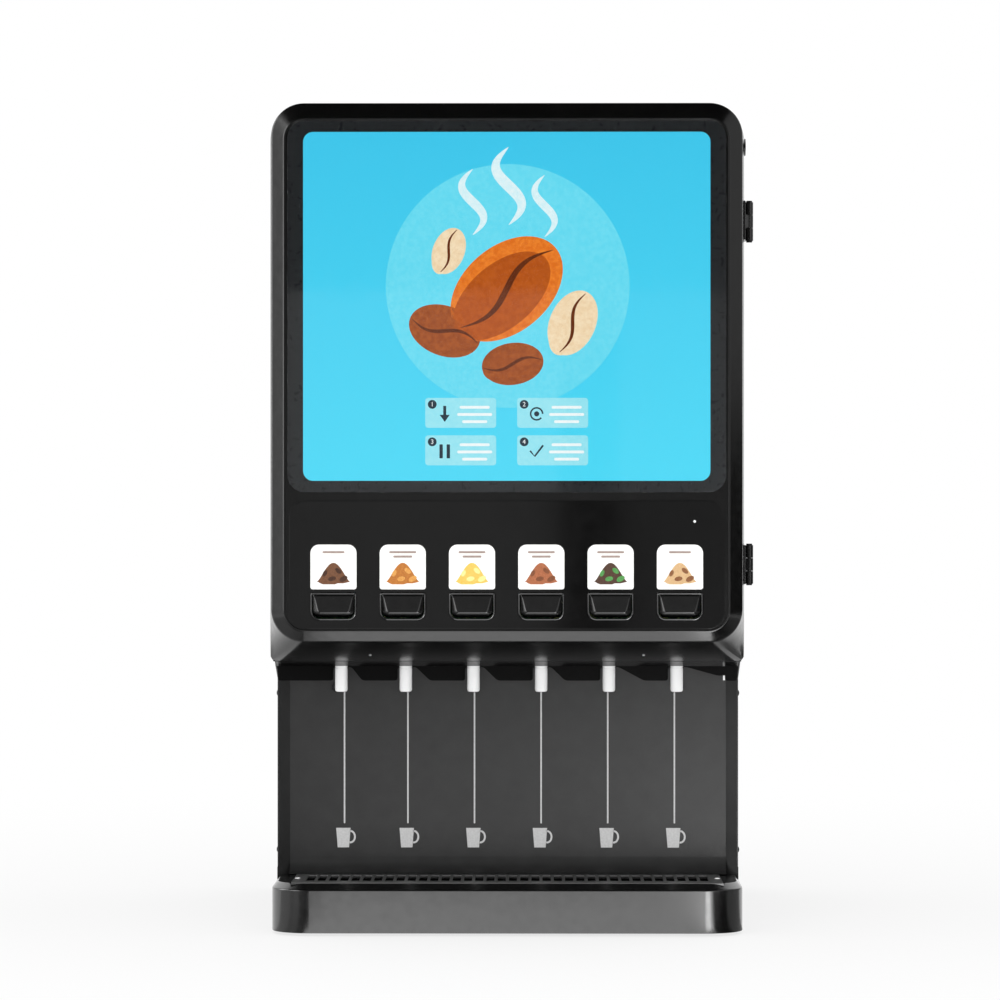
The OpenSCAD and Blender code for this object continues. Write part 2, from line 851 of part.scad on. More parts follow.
// One bowl: whipping chamber, funnel above it and outlet collar below it
module mixing_bowl(outlet_x) {
    in_r = bowl_r - bowl_wall;
    half = funnel_w / 2;
    front = bowl_front_d;
    difference() {
        union() {
            rod_d(0, whip_z, bowl_r, front, mixer_d);
            box(-half, half, front, mixer_d, whip_z, funnel_z);
            rod_z(outlet_x, spout_d, collar_r, collar_z, whip_z - in_r / 2);
        }
        rod_d(0, whip_z, in_r, front + bowl_wall, mixer_d - bowl_wall);
        box(-in_r, in_r, front + bowl_wall, mixer_d - bowl_wall, whip_z, funnel_z + 1);
        rod_z(outlet_x, spout_d, spout_bore_r + 0.5, collar_z - 1, whip_z);
        rod_d(0, whip_z, whip_shaft_r + 1, mixer_d - 2 * bowl_wall, mixer_d + 1);
        rod_d(0, tube_water_z, tube_water_r + 0.2, mixer_d - 2 * bowl_wall, mixer_d + 1);
    }
}

module mixing_bowls() {
    color("lightgray") for (i = [0:stations - 1]) {
        translate([station_x(i), 0, 0]) mixing_bowl(spout_x(i) - station_x(i));
    }
}

module impeller(i) {
    hub_r = whip_shaft_r + 4;
    disc_t = 3;
    disc_d = mixer_d - bowl_wall - 6;
    vane_len = 14;
    vane_t = 2;
    color("gold") translate([station_x(i), 0, 0]) {
        rod_d(0, whip_z, whip_shaft_r, disc_d - vane_len, mixer_back_d + whip_bore_len);
        rod_d(0, whip_z, impeller_r, disc_d - disc_t, disc_d);
        rod_d(0, whip_z, hub_r, disc_d - vane_len, disc_d - disc_t + eps);
        for (a = [0:60:300]) translate([0, 0, whip_z]) rotate([0, a, 0]) {
            box(hub_r - 1, impeller_r - 1, disc_d - vane_len, disc_d - disc_t + eps, -vane_t / 2, vane_t / 2);
        }
    }
}

module whipper_motors() {
    nose_len = 4;
    color("dimgray") each_station() difference() {
        union() {
            rod_d(0, whip_z, whip_shaft_r + 7, mixer_back_d, mixer_back_d + nose_len + eps);
            rod_d(0, whip_z, whip_motor_r, mixer_back_d + nose_len, mixer_back_d + whip_motor_len);
        }
        rod_d(0, whip_z, whip_shaft_r + run_gap, mixer_back_d - 1, mixer_back_d + whip_bore_len + hinge_play);
    }
}

// Powder system

// Outline of a hopper in x and z, grown outwards from its inside
module hopper_outline(grow) {
    half = hopper_w / 2 - hopper_wall + grow;
    low = trough_r + grow;
    polygon([
        [-half, hopper_top_z],
        [-half, shoulder_z],
        [-low, auger_z],
        [low, auger_z],
        [half, shoulder_z],
        [half, hopper_top_z]
    ]);
    translate([0, auger_z]) circle(low);
}

module hopper() {
    half = hopper_w / 2;
    ear_x = flap_barrel_w / 2 + hinge_play;
    ear_top_z = flap_rod_z + flap_barrel_r;
    difference() {
        union() {
            facing(hopper_front_d, hopper_back_d) hopper_outline(hopper_wall);
            rod_d(0, auger_z, tube_r, tube_front_d, hopper_front_d + eps);
            rod_z(0, outlet_d, outlet_r, outlet_z, auger_z);
            for (d = [hopper_front_d + 10, hopper_back_d - 20]) {
                box(-half, half, d, d + 10, shelf_z, auger_z);
            }
            both_sides() {
                ear_out = ear_x + flap_ear_w;
                box(ear_x, ear_out, flap_rod_d - 3, flap_rod_d + 3, hopper_top_z - eps, ear_top_z);
            }
            rod_x(flap_rod_d, flap_rod_z, flap_rod_r, -ear_x - eps, ear_x + eps);
        }
        difference() {
            facing(hopper_front_d + hopper_wall, hopper_back_d - hopper_wall) hopper_outline(0);
            box(-half, half, mouth_back_d, hopper_back_d, hopper_top_z - hopper_wall, hopper_top_z);
        }
        rod_d(0, auger_z, trough_r, tube_front_d + hopper_wall, hopper_front_d + 2 * hopper_wall);
        rod_z(0, outlet_d, outlet_r - hopper_wall, outlet_z - 1, auger_z);
        rod_d(0, auger_z, auger_shaft_r + run_gap, tube_front_d - 1, tube_front_d + 2 * hopper_wall);
        rod_d(0, auger_z, auger_shaft_r + run_gap, hopper_back_d - 2 * hopper_wall, hopper_back_d + 1);
    }
}

module hoppers() {
    color("whitesmoke") each_station() hopper();
}

// Refill flap over the front half of a hopper
module flap(i) {
    half = hopper_w / 2;
    bar = flap_barrel_w / 2;
    color("lightgray") translate([station_x(i), 0, 0]) difference() {
        union() {
            box(-half, half, hopper_front_d - 2, mouth_back_d + 2, flap_z, flap_z + flap_t);
            box(-bar, bar, mouth_back_d + 2 - eps, flap_rod_d, flap_z, flap_z + flap_t);
            rod_x(flap_rod_d, flap_rod_z, flap_barrel_r, -bar, bar);
        }
        rod_x(flap_rod_d, flap_rod_z, flap_rod_r + run_gap, -bar - 1, bar + 1);
    }
}

// Auger with a helical flight between two plain journals
module auger(i) {
    flight_front_d = tube_front_d + hopper_wall + 2;
    flight_len = hopper_back_d - hopper_wall - 2 - flight_front_d;
    turns = flight_len / auger_pitch;
    color("gold") translate([station_x(i), 0, 0]) {
        rod_d(0, auger_z, auger_shaft_r, tube_front_d, auger_motor_d + coupling_len);
        translate([0, yd(flight_front_d), auger_z]) rotate([-90, 0, 0]) {
            linear_extrude(flight_len, twist = 360 * turns, slices = ceil(turns * 10), segments = 4) {
                translate([-auger_r, -flight_t / 2]) square([2 * auger_r, flight_t]);
            }
        }
    }
}

module auger_motors() {
    half = auger_motor_r - 2;
    front = auger_motor_d;
    color("dimgray") each_station() difference() {
        union() {
            rod_d(0, auger_z, auger_motor_r, front + coupling_len, front + auger_motor_len);
            rod_d(0, auger_z, auger_shaft_r + 5, front, front + coupling_len + eps);
            box(-half, half, front + coupling_len + 2, front + auger_motor_len - 2, shelf_z, auger_z);
        }
        rod_d(0, auger_z, auger_shaft_r + run_gap, front - 1, front + coupling_len + hinge_play);
    }
}

// Water system

module water_tank() {
    half = tank_w / 2;
    t = tank_wall;
    front = tank_front_d;
    back = front + tank_len;
    top_z = deck_z + tank_h;
    color("silver") difference() {
        box(-half, half, front, back, deck_z, top_z);
        box(t - half, half - t, front + t, back - t, deck_z + t, top_z - t);
        rod_z(0, riser_d, manifold_r - 2, top_z - 2 * t, top_z + 1);
    }
}

module water_valves() {
    half = valve_w / 2;
    span = station_x(stations - 1) + half;
    color("white") {
        each_station() {
            box(-half, half, mixer_back_d, mixer_back_d + valve_len, valve_z, valve_z + valve_h);
            rod_d(0, tube_water_z, tube_water_r, mixer_d - bowl_wall - 4, mixer_back_d + eps);
        }
        rod_x(manifold_d, manifold_z, manifold_r, -span, span);
        rod_d(0, manifold_z, manifold_r - 1, manifold_d, riser_d + manifold_r - 1);
        rod_z(0, riser_d, manifold_r - 1, deck_z + tank_h, manifold_z);
    }
}

module control_board() {
    half = control_w / 2;
    edge = 8;
    chip_edge = 40;
    chip_rise = 30;
    terminal_drop = 30;
    z0 = shelf_z + control_rise;
    z1 = z0 + control_h;
    back = machine_d - sheet_t;
    front = back - control_post_len;
    face = front - board_t;
    color("darkgreen") {
        box(-half, half, face, front, z0, z1);
        for (z = [z0 + edge, z1 - edge]) both_sides() rod_d(half - edge, z, 3.5, front - eps, back);
        for (x = [chip_edge - half, 0, chip_h]) {
            box(x, x + chip_w, face - chip_t, face + eps, z0 + chip_rise, z0 + chip_rise + chip_h);
        }
        strip_z = z1 - terminal_drop;
        box(-terminal_w / 2, terminal_w / 2, face - terminal_t, face + eps, strip_z, strip_z + terminal_h);
    }
}

module inlet_valve() {
    back = machine_d;
    inside = back - sheet_t;
    color("goldenrod") {
        rod_d(-service_x, inlet_z, inlet_r, inside - eps, back + inlet_len);
        rod_d(-service_x, inlet_z, inlet_r + 6, inside - 6, inside);
        box(-service_x - 14, -service_x + 14, inside - 34, inside - 6 + eps, inlet_z - 14, inlet_z + 18);
    }
}

module cord_gland() {
    back = machine_d;
    color("black") difference() {
        union() {
            rod_d(service_x, inlet_z, gland_bore_r + 7, back, back + 8);
            rod_d(service_x, inlet_z, gland_bore_r + 4.2, back - sheet_t - 8, back + eps);
        }
        rod_d(service_x, inlet_z, gland_bore_r, back - sheet_t - 9, back + 9);
    }
}

// Door

module door_slice(w, z0, z1, rb, rt, d) {
    facing(d, d + eps) translate([-w / 2, z0]) rounded(w, z1 - z0, rb, rt, $fn = hull_fn);
}

module door_outer() {
    front_r = door_r - bezel_w + 1;
    hull() {
        door_slice(front_w, bezel_bottom_z, bezel_top_z, front_r, front_r, 0);
        door_slice(door_w, door_bottom_z, door_top_z, door_r, door_r, bezel_d);
        door_slice(back_w, chin_z, cabinet_h, chin_r, top_r, door_t - eps);
    }
}

// Stepped hollow behind the front wall, widening with the flared sides
module door_hollow() {
    wall = 4;
    steps = [frame_back_d, bezel_d + 8, (bezel_d + 8 + door_t) / 2, door_t + 1];
    for (k = [0:2]) {
        d0 = steps[k];
        share = max(0, (d0 - bezel_d) / (door_t - bezel_d));
        half = k == 0 ? front_w / 2 + 1 : door_side(d0) - wall;
        z0 = k == 0 ? bezel_bottom_z + wall : door_bottom_z - chin_drop * share + wall;
        z1 = k == 0 ? bezel_top_z + 1 : door_top_z - wall;
        r = door_r - bezel_w;
        facing(d0 - eps, steps[k + 1]) translate([-half, z0]) rounded(2 * half, z1 - z0, r, r);
    }
}

module door_frame() {
    recess_w = front_w - 2 * recess_edge;
    recess_z = bezel_bottom_z + recess_edge;
    recess_h = bezel_top_z - recess_edge - recess_z;
    switch_w = 2 * (station_x(stations - 1) + button_frame_w / 2 + flange_w + 4);
    color("dimgray") difference() {
        door_outer();
        door_hollow();
        panel_plate(recess_w, recess_z, recess_h, door_r - bezel_w, -1, recess_d);
        lit_plate(lit_gap, 0, frame_back_d + 1);
        panel_plate(switch_w, panel_z + 4, panel_h - 8, panel_r / 2, 0, frame_back_d + 1);
    }
}

// Plate with the outline of the lit area, grown by a gap
module lit_plate(gap, d0, d1) {
    panel_plate(lit_w + 2 * gap, lit_z - gap, lit_h + 2 * gap, lit_r + gap, d0, d1);
}

module display_glass() {
    color("black") panel_plate(glass_w, glass_z, glass_h, glass_r, glass_set, recess_d);
}

module display_sheet() {
    color("deepskyblue") lit_plate(lit_gap - 0.5, recess_d, recess_d + 0.8);
}

module light_box() {
    t = light_box_wall;
    gap = lit_gap - 0.5;
    back_d = frame_back_d + light_box_d;
    color("white") difference() {
        union() {
            panel_plate(lit_w + 16, lit_z - 8, lit_h + 16, lit_r, frame_back_d, frame_back_d + t);
            panel_plate(lit_w + 2 * gap, lit_z - gap, lit_h + 2 * gap, lit_r, frame_back_d, back_d);
        }
        panel_plate(lit_w, lit_z, lit_h, lit_r - t, frame_back_d - 1, back_d - t);
    }
}

module door_liner() {
    inset = 2;
    w = back_w - 2 * inset;
    h = cabinet_h - chin_z - 2 * inset;
    color("dimgray") facing(door_t, door_t + liner_t) {
        translate([-w / 2, chin_z + inset]) rounded(w, h, chin_r - inset, top_r - inset);
    }
}

// Two screws in the sloping chin and the round plug in the door's right side
module door_screws() {
    plug_d = 40;
    chin_share = 0.6;
    screw_d = bezel_d + chin_share * (door_t - bezel_d);
    screw_z = door_bottom_z - chin_share * chin_drop;
    plug_z = cabinet_h - plug_drop;
    color("silver") both_sides() translate([chin_screw_span / 2, yd(screw_d), screw_z]) {
        rotate([180 - chin_angle, 0, 0]) translate([0, 0, seat_gap]) cylinder(r = chin_screw_r, h = 1);
    }
    stem_r = plug_dia / 4;
    stem_x = door_side(plug_d + stem_r) + seat_gap;
    plug_x = door_side(plug_d) + 0.8;
    color("black") rod_x(plug_d, plug_z, plug_dia / 2, plug_x, plug_x + 1.2);
    color("black") rod_x(plug_d, plug_z, stem_r, stem_x, plug_x + eps);
}

// Controls

module control_panel() {
    gap = 0.2;
    half = button_frame_w / 2 + gap;
    color("black") difference() {
        panel_plate(panel_w, panel_z, panel_h, panel_r, glass_set, recess_d);
        each_station() box(-half, half, glass_set - 1, recess_d + 1, button_z - gap, button_top_z + gap);
        rod_d(status_x, status_z, status_r + 0.2, glass_set - 1, recess_d + 1);
    }
}

module flavor_cards() {
    foot_r = 2.5;
    head_r = 8.5;
    color("white") each_station() facing(glass_set - card_t, glass_set) {
        translate([-card_w / 2, card_z]) rounded(card_w, card_h, foot_r, head_r);
    }
}

module button_frames() {
    half = button_frame_w / 2;
    in_half = half - rim_w;
    out_half = half + flange_w;
    front = glass_set - rim_out;
    lap = flange_w / 2;
    color("black") each_station() difference() {
        union() {
            box(-half, half, front, recess_d + eps, button_z, button_top_z);
            box(-out_half, out_half, recess_d, frame_back_d, button_z - lap, button_top_z + lap);
            box(-half, half, frame_back_d - eps, paddle_back_d, button_z, button_top_z);
        }
        box(-in_half, in_half, front - 1, paddle_back_d + 1, button_z + rim_h, button_top_z - rim_h);
        rod_x(pivot_d, pivot_z, trunnion_r + run_gap, -half + 0.1, half - 0.1);
    }
}

// Wedge-shaped paddle that pivots on trunnions near its top edge
module paddle(i) {
    half = paddle_w / 2;
    top_half = half - 1.5;
    foot_half = half - 5;
    foot_z = paddle_z + 5.5;
    back_half = half - 0.7;
    reach = button_frame_w / 2 - 0.2;
    color("dimgray") translate([station_x(i), 0, 0]) {
        hull() {
            box(-half, half, -0.3, pivot_d - trunnion_r - 1, paddle_z, paddle_top_z);
            box(-top_half, top_half, -0.9, 0, paddle_top_z - 1, paddle_top_z - 0.5);
            box(-foot_half, foot_half, -paddle_out, 0, foot_z, foot_z + 0.5);
        }
        box(-back_half, back_half, 0, paddle_back_d, paddle_z + 2, paddle_top_z);
        rod_x(pivot_d, pivot_z, trunnion_r, -reach, reach);
    }
}

module switch_board() {
    half = station_x(stations - 1) + button_frame_w / 2 + flange_w;
    post_r = 3;
    key = 4;
    z0 = button_z;
    z1 = panel_z + panel_h - 8;
    color("darkgreen") {
        box(-half, half, board_d, board_d + board_t, z0, z1);
        each_station() box(-key, key, switch_d, board_d + eps, paddle_z, paddle_z + 2 * key);
        for (x = [-1, 1]) {
            rod_d(x * station_pitch, z1 - 6, post_r, recess_d, board_d + eps);
            rod_d(x * 2 * station_pitch, z1 - 6, post_r, recess_d, board_d + eps);
        }
        rod_d(status_x, status_z, status_r, glass_set - 0.2, board_d + eps);
    }
}

// Hinges

module knuckle(part, r, grow) {
    third = hinge_len / 3;
    z0 = -hinge_len / 2 + part * third;
    rod_z(hinge_x, hinge_d, r, z0 + grow, z0 + third - grow);
}

module hinge_bores() {
    for (z = hinge_zs) rod_z(hinge_x, hinge_d, hinge_pin_r + run_gap, z - hinge_len, z + hinge_len);
}

module cabinet_leaf() {
    x0 = cabinet_w / 2;
    third = hinge_len / 3;
    play = hinge_play / 2;
    rising(-hinge_len / 2, hinge_len / 2) translate([x0, yd(cabinet_front_d + 3)]) square([leaf_t, leaf_len]);
    for (part = [0, 2]) {
        knuckle(part, knuckle_r, play);
        z0 = -hinge_len / 2 + part * third;
        rising(z0 + play, z0 + third - play) polygon([
            [x0, yd(cabinet_front_d + 8)],
            [x0, yd(cabinet_front_d)],
            [hinge_x - knuckle_r + 1, yd(hinge_d)],
            [hinge_x, yd(hinge_d + knuckle_r - 0.5)],
            [x0 + leaf_t, yd(cabinet_front_d + 8)]
        ]);
    }
}

module cabinet_hinge_leaves() {
    color("black") difference() {
        for (z = hinge_zs) translate([0, 0, z]) cabinet_leaf();
        hinge_bores();
    }
}

module door_leaf() {
    back = hinge_d - knuckle_r;
    front = back - door_leaf_len;
    web = back - 6;
    play = hinge_play / 2;
    third = hinge_len / 3;
    rising(-hinge_len / 2, hinge_len / 2) polygon([
        [door_side(front) + seat_gap, yd(front)],
        [door_side(front) + leaf_t, yd(front)],
        [door_side(back) + leaf_t, yd(back)],
        [door_side(back) + seat_gap, yd(back)]
    ]);
    knuckle(1, knuckle_r, play);
    rising(-third / 2 + play, third / 2 - play) polygon([
        [door_side(web) + seat_gap, yd(web)],
        [door_side(web) + leaf_t, yd(web)],
        [hinge_x, yd(hinge_d - knuckle_r + 0.5)],
        [hinge_x - knuckle_r + 1, yd(hinge_d)],
        [door_side(back + 1) + seat_gap, yd(back + 1)]
    ]);
}

module door_hinge_leaves() {
    color("black") difference() {
        for (z = hinge_zs) translate([0, 0, z]) door_leaf();
        hinge_bores();
    }
}

module hinge_pins() {
    head_h = 1.5;
    color("black") for (z = hinge_zs) {
        rod_z(hinge_x, hinge_d, hinge_pin_r, z - hinge_len / 2, z + hinge_len / 2);
        for (s = [0, 1]) {
            z0 = s == 0 ? z - hinge_len / 2 - head_h + hinge_play / 2 : z + hinge_len / 2 - hinge_play / 2;
            rod_z(hinge_x, hinge_d, hinge_pin_r + 1, z0, z0 + head_h);
        }
    }
}

base_shell();
rubber_feet();
left_side_panel();
right_side_panel();
top_cover();
back_panel();
cabinet_floor();
splash_panel();
spout_valance();
mixer_plate();
column_screws();
cabinet_hinge_leaves();
hinge_pins();
hoppers();
auger_motors();
mixing_bowls();
whipper_motors();
spouts();
water_tank();
water_valves();
control_board();
inlet_valve();
cord_gland();
drip_tray();
drip_grille();
door_frame();
display_glass();
display_sheet();
light_box();
control_panel();
flavor_cards();
button_frames();
switch_board();
door_liner();
door_hinge_leaves();
door_screws();
for (i = [1:stations]) {
    paddle(i - 1);
    auger(i - 1);
    impeller(i - 1);
    flap(i - 1);
}
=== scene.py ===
"""Looks of a six-station powder cappuccino dispenser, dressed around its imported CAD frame."""

from collections import namedtuple
from math import atan2, cos, dist, hypot, pi, radians, sin

import bmesh
import bpy
from mathutils import Matrix, Vector


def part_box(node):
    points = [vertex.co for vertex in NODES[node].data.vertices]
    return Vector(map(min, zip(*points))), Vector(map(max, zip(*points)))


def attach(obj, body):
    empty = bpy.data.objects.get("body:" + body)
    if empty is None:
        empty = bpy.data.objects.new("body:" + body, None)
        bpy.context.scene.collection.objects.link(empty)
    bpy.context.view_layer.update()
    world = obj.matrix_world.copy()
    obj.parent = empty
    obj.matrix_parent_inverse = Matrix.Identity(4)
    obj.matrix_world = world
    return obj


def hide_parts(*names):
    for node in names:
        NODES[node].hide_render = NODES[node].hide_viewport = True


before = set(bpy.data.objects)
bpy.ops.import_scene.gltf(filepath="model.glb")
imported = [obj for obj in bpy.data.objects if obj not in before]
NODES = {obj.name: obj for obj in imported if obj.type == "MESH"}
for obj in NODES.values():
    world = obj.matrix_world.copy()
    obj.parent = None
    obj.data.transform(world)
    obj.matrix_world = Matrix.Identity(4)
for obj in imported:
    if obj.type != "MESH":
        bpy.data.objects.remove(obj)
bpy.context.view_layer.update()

# Sizes up to the studio are millimetres: x to the right, d behind the door's front face, z above the counter.
MM = 0.001
FRONT_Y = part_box("door_frame")[0].y
CORNER_STEPS = 14
SMALL_STEPS = 10
EDGE_STEPS = 4
SMOOTH_ANGLE = 40
LEAST_R = 0.05
WELD = 0.001
PRINT_T = 0.04
FILM_T = 0.01


def place(x, d, z):
    return Vector((x * MM, FRONT_Y + d * MM, z * MM))


# Outlines: rounded boxes, arcs and the rings between them

Outline = namedtuple("Outline", "half z0 z1 rb rt mid")


def outline(half, z0, z1, rb, rt=None, mid=0):
    """Box about mid with lower corners of radius rb and upper corners of radius rt."""
    return Outline(half, z0, z1, rb, rb if rt is None else rt, mid)


def grown(shape, by):
    half, z0, z1, rb, rt, mid = shape
    return Outline(half + by, z0 - by, z1 + by, max(rb + by, LEAST_R), max(rt + by, LEAST_R), mid)


def arc(cx, cz, r, start, stop, steps):
    """Points round a centre between two angles in degrees."""
    turns = [radians(start + (stop - start) * k / steps) for k in range(steps + 1)]
    return [(cx + r * cos(a), cz + r * sin(a)) for a in turns]


def trace(shape, steps=CORNER_STEPS):
    """Points of an outline, anticlockwise from its lower right corner."""
    half, z0, z1, rb, rt, mid = shape
    points = arc(mid + half - rb, z0 + rb, rb, -90, 0, steps)
    points += arc(mid + half - rt, z1 - rt, rt, 0, 90, steps)
    points += arc(mid - half + rt, z1 - rt, rt, 90, 180, steps)
    return points + arc(mid - half + rb, z0 + rb, rb, 180, 270, steps)


def spun(points, cx, cz, turn):
    """Points turned about their origin and moved to a centre."""
    c, s = cos(turn), sin(turn)
    return [(cx + u * c - v * s, cz + u * s + v * c) for u, v in points]


def ellipse(cx, cz, a, b, turn=0, steps=40):
    turns = [2 * pi * k / steps for k in range(steps)]
    return spun([(a * cos(t), b * sin(t)) for t in turns], cx, cz, turn)


def mirrored(right):
    """Whole ring from its right half."""
    return right + [(-x, z) for x, z in reversed(right)]


def curve(a, corner, b, steps):
    """Points of a short curve from a to b, drawn towards corner."""
    points = []
    for k in range(steps + 1):
        t = k / steps
        shares = ((1 - t) ** 2, 2 * t * (1 - t), t * t)
        points.append(tuple(sum(w * v for w, v in zip(shares, values)) for values in zip(a, corner, b)))
    return points


def eased(points, r):
    """Closed outline whose corners are short curves that start r before each corner."""
    out = []
    for k, corner in enumerate(points):
        ends = []
        for other in (points[k - 1], points[(k + 1) % len(points)]):
            share = min(r / dist(corner, other), 0.45)
            ends.append(tuple(c + (o - c) * share for c, o in zip(corner, other)))
        out += curve(ends[0], corner, ends[1], 4)
    return out


def at_depth(points, d):
    """Ring of (x, d, z) points from flat (x, z) points."""
    return [(x, d, z) for x, z in points]


def mix(a, b, t):
    """Ring part of the way from ring a to ring b."""
    return [tuple(p + (q - p) * t for p, q in zip(u, v)) for u, v in zip(a, b)]


def bend(a, corner, b, steps):
    """Rings that round off the ring corner between the rings a and b."""
    return list(zip(*(curve(p, q, r, steps) for p, q, r in zip(a, corner, b))))


def soft_edge(r):
    """Steps of a rounded edge, as (inset, distance below the face)."""
    turns = [radians(90 * k / EDGE_STEPS) for k in range(EDGE_STEPS + 1)]
    return [(r * (1 - cos(a)), r * (1 - sin(a))) for a in turns]


# Pieces

def setup(thing, **settings):
    """Sets several properties of one thing."""
    for name, value in settings.items():
        setattr(thing, name, value)
    return thing


def add_object(name, data):
    obj = bpy.data.objects.new(name, data)
    bpy.context.scene.collection.objects.link(obj)
    return obj


def add_modifier(obj, kind, **settings):
    setup(obj.modifiers.new(kind.lower(), kind), **settings)


def finish_piece(obj, finish, body, replaces=(), angle=SMOOTH_ANGLE):
    """Gives a piece its finish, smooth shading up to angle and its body."""
    obj.data.materials.clear()
    obj.data.materials.append(finish.material)
    obj.data.shade_smooth()
    obj.data.set_sharp_from_angle(angle=radians(angle))
    add_modifier(obj, "WEIGHTED_NORMAL", keep_sharp=True)
    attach(obj, body)
    if replaces:
        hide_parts(*replaces)


class Shape:
    """Collects vertices and faces in millimetres, and turns them into one piece."""

    def __init__(self):
        self.bm = bmesh.new()

    def ring(self, spots):
        """Loop of vertices at (x, d, z) points."""
        return [self.bm.verts.new(place(*spot)) for spot in spots]

    def loop(self, points, d):
        """Loop of (x, z) points at one depth."""
        return self.ring(at_depth(points, d))

    def level(self, points, z):
        """Loop of (x, d) points at one height."""
        return self.ring([(x, d, z) for x, d in points])

    def skin(self, loops, closed=True):
        """Quads between each loop and the next."""
        for a, b in zip(loops, loops[1:]):
            n = len(a)
            for k in range(n if closed else n - 1):
                j = (k + 1) % n
                self.bm.faces.new((a[k], a[j], b[j], b[k]))

    def fill(self, *loops):
        """Flat face bounded by the first loop, with the others as holes."""
        edges = []
        for verts in loops:
            for k, v in enumerate(verts):
                w = verts[(k + 1) % len(verts)]
                edges.append(self.bm.edges.get((v, w)) or self.bm.edges.new((v, w)))
        bmesh.ops.triangle_fill(self.bm, use_beauty=True, use_dissolve=False, edges=edges)

    def prism(self, a, b):
        """Solid between two flat loops."""
        self.skin([a, b])
        self.fill(a)
        self.fill(b)

    def plate(self, outer, holes, d0, d1, edge, steps=CORNER_STEPS):
        """Upright plate with its front face at d0, softened front edges and open holes."""
        fronts = []
        backs = []
        for shape, sign in [(outer, -1)] + [(h, 1) for h in holes]:
            loops = [self.loop(trace(shape, steps), d1)]
            for inset, drop in soft_edge(edge):
                loops.append(self.loop(trace(grown(shape, sign * inset), steps), d0 + drop))
            self.skin(loops)
            fronts.append(loops[-1])
            backs.append(loops[0])
        self.fill(*fronts)
        self.fill(*backs)

    def flat(self, points, d, thick=PRINT_T):
        """Thin shape with its face at depth d."""
        self.prism(self.loop(points, d), self.loop(points, d + thick))

    def strip(self, centre, widths, d, thick=PRINT_T):
        """Thin ribbon that follows centre points with a width at each."""
        left = []
        right = []
        last = len(centre) - 1
        for k, (x, z) in enumerate(centre):
            ax, az = centre[max(k - 1, 0)]
            bx, bz = centre[min(k + 1, last)]
            length = hypot(bx - ax, bz - az) or 1
            nx, nz = -(bz - az) / length, (bx - ax) / length
            h = widths[k] / 2
            left.append((x + nx * h, z + nz * h))
            right.append((x - nx * h, z - nz * h))
        rims = []
        for depth in (d, d + thick):
            a = self.loop(left, depth)
            b = self.loop(right, depth)
            self.skin([a, b], closed=False)
            rims.append(a + b[::-1])
        self.skin(rims)

    def turned(self, profile, axis_point, axis, steps):
        """Solid of revolution from (radius, along) points about an axis through axis_point (x, d, z)."""
        order = {"z": (0, 1, 2), "d": (0, 2, 1), "x": (2, 0, 1)}[axis]
        loops = []
        for r, along in profile:
            spots = [(u, v, along) for u, v in ellipse(0, 0, r, r, 0, steps)]
            loops.append(self.ring([[p + spot[i] for p, i in zip(axis_point, order)] for spot in spots]))
        self.skin(loops)
        for verts in (loops[0], loops[-1]):
            self.bm.faces.new(verts)

    def block(self, x0, x1, d0, d1, z0, z1, edge=0):
        """Box, with its edges softened by edge."""
        v = self.ring([(x, d, z) for x in (x0, x1) for d in (d0, d1) for z in (z0, z1)])
        quads = [(0, 1, 3, 2), (4, 6, 7, 5), (0, 4, 5, 1), (2, 3, 7, 6), (0, 2, 6, 4), (1, 5, 7, 3)]
        faces = [self.bm.faces.new([v[i] for i in q]) for q in quads]
        if edge:
            edges = list({e for f in faces for e in f.edges})
            bmesh.ops.bevel(self.bm, geom=edges, offset=edge * MM, segments=3, profile=0.5, affect="EDGES")

    def piece(self, name, finish, body, replaces=(), angle=SMOOTH_ANGLE, weld=True):
        if weld:
            bmesh.ops.remove_doubles(self.bm, verts=self.bm.verts, dist=WELD * MM)
        bmesh.ops.recalc_face_normals(self.bm, faces=self.bm.faces)
        mesh = bpy.data.meshes.new(name)
        self.bm.to_mesh(mesh)
        self.bm.free()
        finish_piece(add_object(name, mesh), finish, body, replaces, angle)


# Finishes

def new_material(name):
    material = bpy.data.materials.new(name)
    material.use_nodes = True
    return material


def add_node(tree, kind, output, inputs, **settings):
    """Adds a shader node and returns one output; an input is a value, or a socket to link from."""
    node = setup(tree.nodes.new("ShaderNode" + kind), **settings)
    for name, value in inputs.items():
        if isinstance(value, bpy.types.NodeSocket):
            tree.links.new(value, node.inputs[name])
        else:
            node.inputs[name].default_value = value
    return node.outputs[output]


def tone(r, g=None, b=None):
    """Linear colour from screen values of 0 to 255; one value gives a grey."""
    values = (r, r, r) if g is None else (r, g, b)
    linear = []
    for v in values:
        v /= 255
        linear.append(v / 12.92 if v <= 0.04045 else ((v + 0.055) / 1.055) ** 2.4)
    return (*linear, 1)


